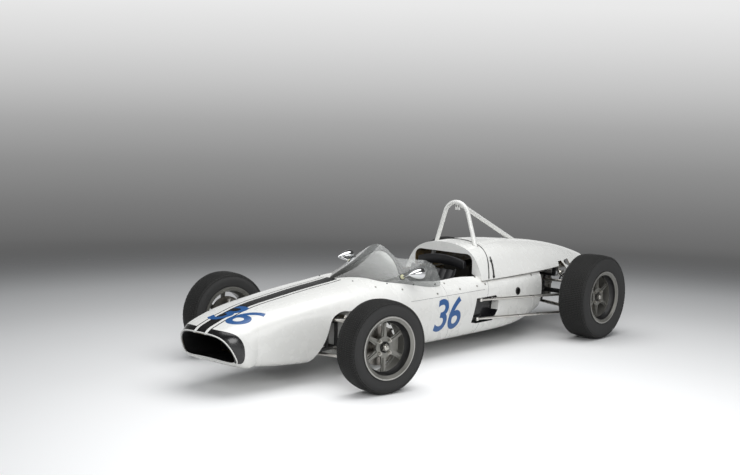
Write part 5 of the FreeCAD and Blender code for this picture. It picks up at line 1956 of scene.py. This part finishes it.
@dataclass
class Suspension(Assembly):
    """Links, uprights, springs and the frame that carries them.

    Lengths are in millimetres.

    Attributes:
        links: Solids with the nickel plate.
        castings: Solids of magnesium.
        spring_wire: Radius of the springs' wire.
        units: Name, bottom, top, coil radius and turns of each axle's spring on the left.
        boot_folds: Ridges and hollows of a shaft boot.
        boot_step: Distance between two.
        boot_radius: Radius at its wide end, and how much less it gets with each fold.
        boot_ridge: Height of a ridge.
        boot_ends: Distance from the middle line and direction of each.
    """

    links: tuple[str, ...] = (
        "front_wishbones_left", "front_wishbones_right", "rear_links_left", "rear_links_right", "rack_bar",
    )
    castings: tuple[str, ...] = ("upright_fl", "upright_fr", "upright_rl", "upright_rr", "steering_rack")
    spring_wire: float = 5.0
    units: tuple[tuple[str, tuple[float, float, float], tuple[float, float, float], float, float], ...] = (
        ("front", (12, 120, 180), (12, 120, 390), 28.0, 5.5),
        ("rear", (2382, 537, 196), (2382, 300, 448), 29.0, 8.5),
    )
    boot_folds: int = 9
    boot_step: float = 6.0
    boot_radius: tuple[float, float] = (34, 1.9)
    boot_ridge: float = 3
    boot_ends: tuple[tuple[float, int], ...] = ((202, 1), (478, -1))

    def build(self) -> None:
        """Dress the links and build the springs and boots."""
        self.dress(NICKEL, *self.links)
        self.dress(TUBE_BLACK, "front_frame", "rear_frame")
        self.dress(MAGNESIUM, *self.castings)
        self.dress(BLACK_STEEL, "driveshaft_left", "driveshaft_right")
        for axle, bottom, top, radius, turns in self.units:
            self.add_springs(axle, at(*bottom), at(*top), radius, turns)
        self.add_boots()

    def add_springs(self, axle: str, bottom: Vector, top: Vector, radius: float, turns: float) -> None:
        """Spring and damper on both sides in place of the plain solids.

        Args:
            axle: Name of the axle.
            bottom: Lower mounting of the left damper, in metres.
            top: Its upper mounting.
            radius: Radius of the spring's turns, in millimetres.
            turns: Number of turns.
        """
        springs = Bench()
        dampers = Bench()
        wire = self.spring_wire * MM
        eye = FORWARDS * 0.0115
        for hand, _ in HANDS:
            flip = Vector((1, hand, 1))
            foot, head = bottom * flip, top * flip
            axis = (head - foot).normalized()
            length = (head - foot).length
            dampers.lathe(self.damper_profile(length), foot, axis, 32)
            for point in (foot, head):
                dampers.bar(point - eye, point + eye, 0.0118, bevel=0.001)
            start = foot + axis * (0.050 + wire)
            springs.coil(start, axis, radius * MM, wire, turns, length - 0.098 - 2 * wire)
        piece = springs.place(axle + "_springs", "chassis", BLACK_STEEL, "spring_dark")
        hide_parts(axle + "_dampers")
        dampers.place(axle + "_damper_bodies", "chassis", BRIGHT_STEEL)

    def damper_profile(self, length: float) -> list[tuple[float, float]]:
        """Profile of a damper with its two spring seats.

        Args:
            length: Distance between its mountings, in metres.

        Returns:
            Distances along the damper and radii, in metres.
        """
        body = [
            (0.010, 0.0), (0.010, 0.019), (0.040, 0.021), (0.042, 0.036), (0.050, 0.037), (0.052, 0.030),
            (0.054, 0.021), (length * 0.62, 0.021), (length * 0.64, 0.016), (length * 0.64, 0.007),
        ]
        rod = [(0.046, 0.007), (0.046, 0.036), (0.040, 0.037), (0.036, 0.020), (0.016, 0.012), (0.008, 0.0)]
        return body + [(length - before, radius) for before, radius in rod]

    def add_boots(self) -> None:
        """Ribbed rubber boots on the drive shafts."""
        wide, less = self.boot_radius
        profile = []
        for index in range(self.boot_folds):
            ridge = self.boot_ridge if index % 2 else 0
            profile.append((index * self.boot_step, wide - index * less + ridge))
        for hand, name in HANDS:
            bench = Bench()
            for start, side in self.boot_ends:
                centre = at(REAR_AXLE_STATION, hand * start, REAR_AXLE_HEIGHT)
                bench.lathe(metres(profile), centre, LEFTWARDS * hand * side, 32)
            bench.place("shaft_boots_" + name, "wheel_rl" if hand > 0 else "wheel_rr", SOFT_RUBBER)


@dataclass
class PowerUnit(Assembly):
    """Engine block, gear casing and exhaust.

    Lengths are in millimetres.

    Attributes:
        rib_stations: First station, end and step of the casing's upright ribs.
        rib_half: Half the thickness along and across of a rib.
        rib_heights: Bottom and top of a rib.
        casing_half: Distance of the ribs from the middle line.
        bolt_ring: Station, height and radius of the ring of casing bolts.
        bolt_count: Number of bolts.
        bolt_size: Length and radius of a bolt.
    """

    rib_stations: tuple[int, int, int] = (2230, 2600, 60)
    rib_half: tuple[float, float] = (4, 3.5)
    rib_heights: tuple[float, float] = (214, 350)
    casing_half: float = 98.5
    bolt_ring: tuple[float, float, float] = (2203, 300, 112)
    bolt_count: int = 12
    bolt_size: tuple[float, float] = (10, 7)

    def build(self) -> None:
        """Dress the castings and the exhaust, and add ribs and bolts."""
        self.dress(DARK_CASTING, "engine", "gearbox")
        self.dress(PIPE_STEEL, "exhaust")
        ribs = Bench()
        along, thick = self.rib_half
        low, high = self.rib_heights
        for hand, _ in HANDS:
            side = hand * self.casing_half
            for station in range(*self.rib_stations):
                corner = at(station + along, side - thick, low)
                ribs.block(corner, at(station - along, side + thick, high), 0.002)
            ribs.block(at(2612, hand * 99 - 4, 290), at(2208, hand * 99 + 4, 300), 0.003)
        ribs.place("casing_ribs", "chassis", DARK_CASTING, "gearbox_alloy")
        bolts = Bench()
        station, height, ring = self.bolt_ring
        length, radius = self.bolt_size
        for index in range(self.bolt_count):
            angle = math.tau * index / self.bolt_count
            foot = at(station, 0, height) + Vector((0, math.cos(angle), math.sin(angle))) * (ring * MM)
            bolts.bar(foot, foot - FORWARDS * (length * MM), radius * MM, segments=6)
        bolts.place("casing_bolts", "chassis", BRIGHT_STEEL)


@dataclass
class Studio:
    """Pale floor, soft light and the camera of the photograph.

    Lengths are in metres of the part's own frame.

    Attributes:
        camera_place: Place of the camera.
        yaw: Direction that the camera looks in, in degrees from straight ahead of the car.
        pitch: How far it looks up, in degrees.
        roll: How far it is turned about its view, in radians.
        focal_px: Focal length in pixels of the photograph.
        image_px: Width of the photograph in pixels.
        sensor_mm: Width of the sensor in millimetres.
        lamps: Name, place, target, width and power in watts of each lamp.
        backdrop: Heights on the unit sphere with the shade seen there.
        world_light: Colour and strength of the light from the surroundings.
        floor_middle: Middle of the floor.
        floor_radius: Its radius.
        floor_gain: How much brighter the camera sees the floor's painted pool of light.
        floor_plain: Colour of the floor for the light.
        floor_light_pool: Distances from its middle with the shade seen there, a painted pool of light that is
            brightest at the middle.
        fade: Distances between which the floor fades into the backdrop.
    """

    camera_place: tuple[float, float, float] = (6.4625, 5.320, 1.757)
    yaw: float = 221.57
    pitch: float = -6.94
    roll: float = 0.021
    focal_px: float = 1256.4
    image_px: float = 740.0
    sensor_mm: float = 36.0
    lamps: tuple[tuple[str, tuple[float, float, float], tuple[float, float, float], float, float], ...] = (
        ("overhead", (0.3, 0.4, 4.2), (0.0, 0.0, 0.2), 5.5, 175.0),
        ("front_left", (5.0, 4.6, 3.0), (0.3, 0.0, 0.3), 3.2, 150.0),
        ("left_side", (-2.0, 6.5, 2.8), (-0.6, 0.4, 0.3), 3.0, 45.0),
    )
    backdrop: tuple[tuple[float, str], ...] = (
        (-0.127, "#656565"), (-0.095, "#7A7A7A"), (-0.063, "#8F8F8F"), (-0.031, "#A8A8A8"),
        (0.0, "#C4C4C4"), (0.031, "#D9D9D9"), (0.062, "#E9E9E9"), (0.1, "#F0F0F0"),
        (0.2, "#8A8A8A"), (0.45, "#4C4C4C"), (1.0, "#404040"),
    )
    world_light: tuple[str, float] = ("#E8ECF0", 0.36)
    floor_middle: tuple[float, float, float] = (2.05, 2.1, 0.0)
    floor_radius: float = 14.0
    floor_gain: float = 1.18
    floor_plain: str = "#C8C8C7"
    # Painted pool of light on the floor, white at the middle
    floor_light_pool: tuple[tuple[float, str], ...] = (
        (0.0, "#FFFFFF"), (1.3, "#F0F0F0"), (2.9, "#D5D5D5"), (4.1, "#C5C5C5"),
        (4.8, "#B8B8B8"), (5.8, "#AAAAAA"), (6.9, "#8E8E8E"), (8.4, "#666666"),
    )
    fade: tuple[float, float] = (5.5, 9.5)

    def build(self) -> None:
        """Set up the floor, the lamps, the world and the camera."""
        self.add_floor()
        self.add_lamps()
        self.add_world()
        self.add_camera()

    def add_floor(self) -> None:
        """Pale round floor with a painted pool of light: its shown colour darkens away from the car and fades
        into the backdrop.
        """
        mesh = bmesh.new()
        place = Matrix.Translation(self.floor_middle)
        bmesh.ops.create_circle(mesh, cap_ends=True, segments=96, radius=self.floor_radius, matrix=place)
        data = bpy.data.meshes.new("studio_floor")
        mesh.to_mesh(data)
        mesh.free()
        floor = bpy.data.objects.new("studio_floor", data)
        bpy.context.scene.collection.objects.link(floor)
        data.materials.append(self.floor_paint())

    def floor_paint(self) -> Material:
        """Matt paint that takes the shadow, brighter for the camera than for the light.

        Returns:
            The new material.
        """
        made = bpy.data.materials.new("studio_floor_paint")
        made.use_nodes = True
        tree = made.node_tree
        tree.nodes.clear()
        coords = add(tree, "ShaderNodeTexCoord").outputs["Object"]
        away = add(tree, "ShaderNodeVectorMath", {"operation": "DISTANCE"}, {
            0: coords, 1: self.floor_middle,
        }).outputs["Value"]
        # Painted pool of light: white at the middle, darker away from it.
        shade = self.shades(tree, away, self.floor_light_pool)
        raised = add(tree, "ShaderNodeVectorMath", {"operation": "SCALE"}, {
            0: shade, "Scale": self.floor_gain,
        })
        shown = add(tree, "ShaderNodeBsdfDiffuse", {}, {"Color": raised.outputs[0]})
        clear = add(tree, "ShaderNodeBsdfTransparent")
        share = add(tree, "ShaderNodeMapRange", {"interpolation_type": "SMOOTHSTEP"}, {
            "Value": away, "From Min": self.fade[0], "From Max": self.fade[1],
        }).outputs["Result"]
        faded = add(tree, "ShaderNodeMixShader", {}, {0: share, 1: shown.outputs[0], 2: clear.outputs[0]})
        plain = add(tree, "ShaderNodeBsdfDiffuse", {}, {"Color": linear(self.floor_plain)})
        mixed = add(tree, "ShaderNodeMixShader", {}, {
            0: self.seen(tree), 1: plain.outputs[0], 2: faded.outputs[0],
        })
        add(tree, "ShaderNodeOutputMaterial", {}, {"Surface": mixed.outputs[0]})
        return made

    def shades(self, tree: NodeTree, value: NodeSocket, stops: Sequence[tuple[float, str]]) -> NodeSocket:
        """Colour that follows a height or a distance.

        Args:
            tree: Node tree that gets the nodes.
            value: The height or distance.
            stops: Values with the colour of each.

        Returns:
            The colour socket.
        """
        low, high = stops[0][0], stops[-1][0]
        share = add(tree, "ShaderNodeMapRange", {}, {"Value": value, "From Min": low, "From Max": high})
        ramp = add(tree, "ShaderNodeValToRGB", {}, {0: share.outputs["Result"]})
        marks = ramp.color_ramp.elements
        while len(marks) < len(stops):
            marks.new(1.0)
        for mark, (place, colour) in zip(marks, stops):
            mark.position = (place - low) / (high - low)
            mark.color = linear(colour)
        return ramp.outputs["Color"]

    def seen(self, tree: NodeTree) -> NodeSocket:
        """One for rays of the camera, of reflections and through clear sheet.

        Args:
            tree: Node tree that gets the nodes.

        Returns:
            The mask's socket.
        """
        path = add(tree, "ShaderNodeLightPath").outputs
        mask = path["Is Camera Ray"]
        for kind in ("Is Glossy Ray", "Is Transmission Ray"):
            mask = add(tree, "ShaderNodeMath", {"operation": "MAXIMUM"}, {0: mask, 1: path[kind]}).outputs[0]
        return mask

    def add_lamps(self) -> None:
        """Large soft lamps."""
        for name, place, target, size, power in self.lamps:
            lamp = bpy.data.lights.new(name, "AREA")
            lamp.shape = "DISK"
            lamp.size = size
            lamp.energy = power
            holder = bpy.data.objects.new(name, lamp)
            holder.location = place
            holder.rotation_euler = (Vector(target) - Vector(place)).to_track_quat("-Z", "Y").to_euler()
            bpy.context.scene.collection.objects.link(holder)

    def add_world(self) -> None:
        """Studio backdrop, lightest a little over the horizon and dark overhead, with an even grey light."""
        world = bpy.data.worlds.new("studio")
        world.use_nodes = True
        tree = world.node_tree
        tree.nodes.clear()
        direction = add(tree, "ShaderNodeTexCoord").outputs["Generated"]
        height = add(tree, "ShaderNodeSeparateXYZ", {}, {0: direction}).outputs["Z"]
        shade = self.shades(tree, height, self.backdrop)
        shown = add(tree, "ShaderNodeBackground", {}, {"Color": shade, "Strength": 1.0})
        colour, strength = self.world_light
        light = add(tree, "ShaderNodeBackground", {}, {"Color": linear(colour), "Strength": strength})
        mixed = add(tree, "ShaderNodeMixShader", {}, {
            0: self.seen(tree), 1: light.outputs[0], 2: shown.outputs[0],
        })
        add(tree, "ShaderNodeOutputWorld", {}, {"Surface": mixed.outputs[0]})
        bpy.context.scene.world = world

    def add_camera(self) -> None:
        """Camera at the photograph's place and angle."""
        yaw, pitch = math.radians(self.yaw), math.radians(self.pitch)
        level = math.cos(pitch)
        ahead = Vector((math.cos(yaw) * level, math.sin(yaw) * level, math.sin(pitch)))
        right = ahead.cross(UP).normalized()
        above = right.cross(ahead)
        turned_right = right * math.cos(self.roll) + above * math.sin(self.roll)
        turned_up = above * math.cos(self.roll) - right * math.sin(self.roll)
        data = bpy.data.cameras.new("photo_camera")
        data.sensor_fit = "HORIZONTAL"
        data.sensor_width = self.sensor_mm
        data.lens = self.sensor_mm * self.focal_px / self.image_px
        data.clip_end = 200.0
        camera = bpy.data.objects.new("photo_camera", data)
        axes = Matrix((turned_right, turned_up, -ahead)).transposed()
        camera.matrix_world = Matrix.Translation(self.camera_place) @ axes.to_4x4()
        bpy.context.scene.collection.objects.link(camera)
        bpy.context.scene.camera = camera


def main() -> None:
    """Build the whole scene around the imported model."""
    logging.basicConfig(level=logging.INFO, format="%(name)s: %(message)s")
    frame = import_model()
    bpy.context.scene.view_settings.view_transform = "Standard"
    assemblies: list[Assembly] = [
        Bodywork(frame), Livery(frame), Screen(frame), Mirrors(frame), Cockpit(frame), RollBar(frame),
        Cooling(frame), Suspension(frame), PowerUnit(frame),
    ]
    assemblies += [Wheel(frame, corner) for corner in Corner]
    for assembly in assemblies:
        assembly.build()
        LOG.info("%s is on the car", type(assembly).__name__)
    Studio().build()


if __name__ == "__main__":
    main()
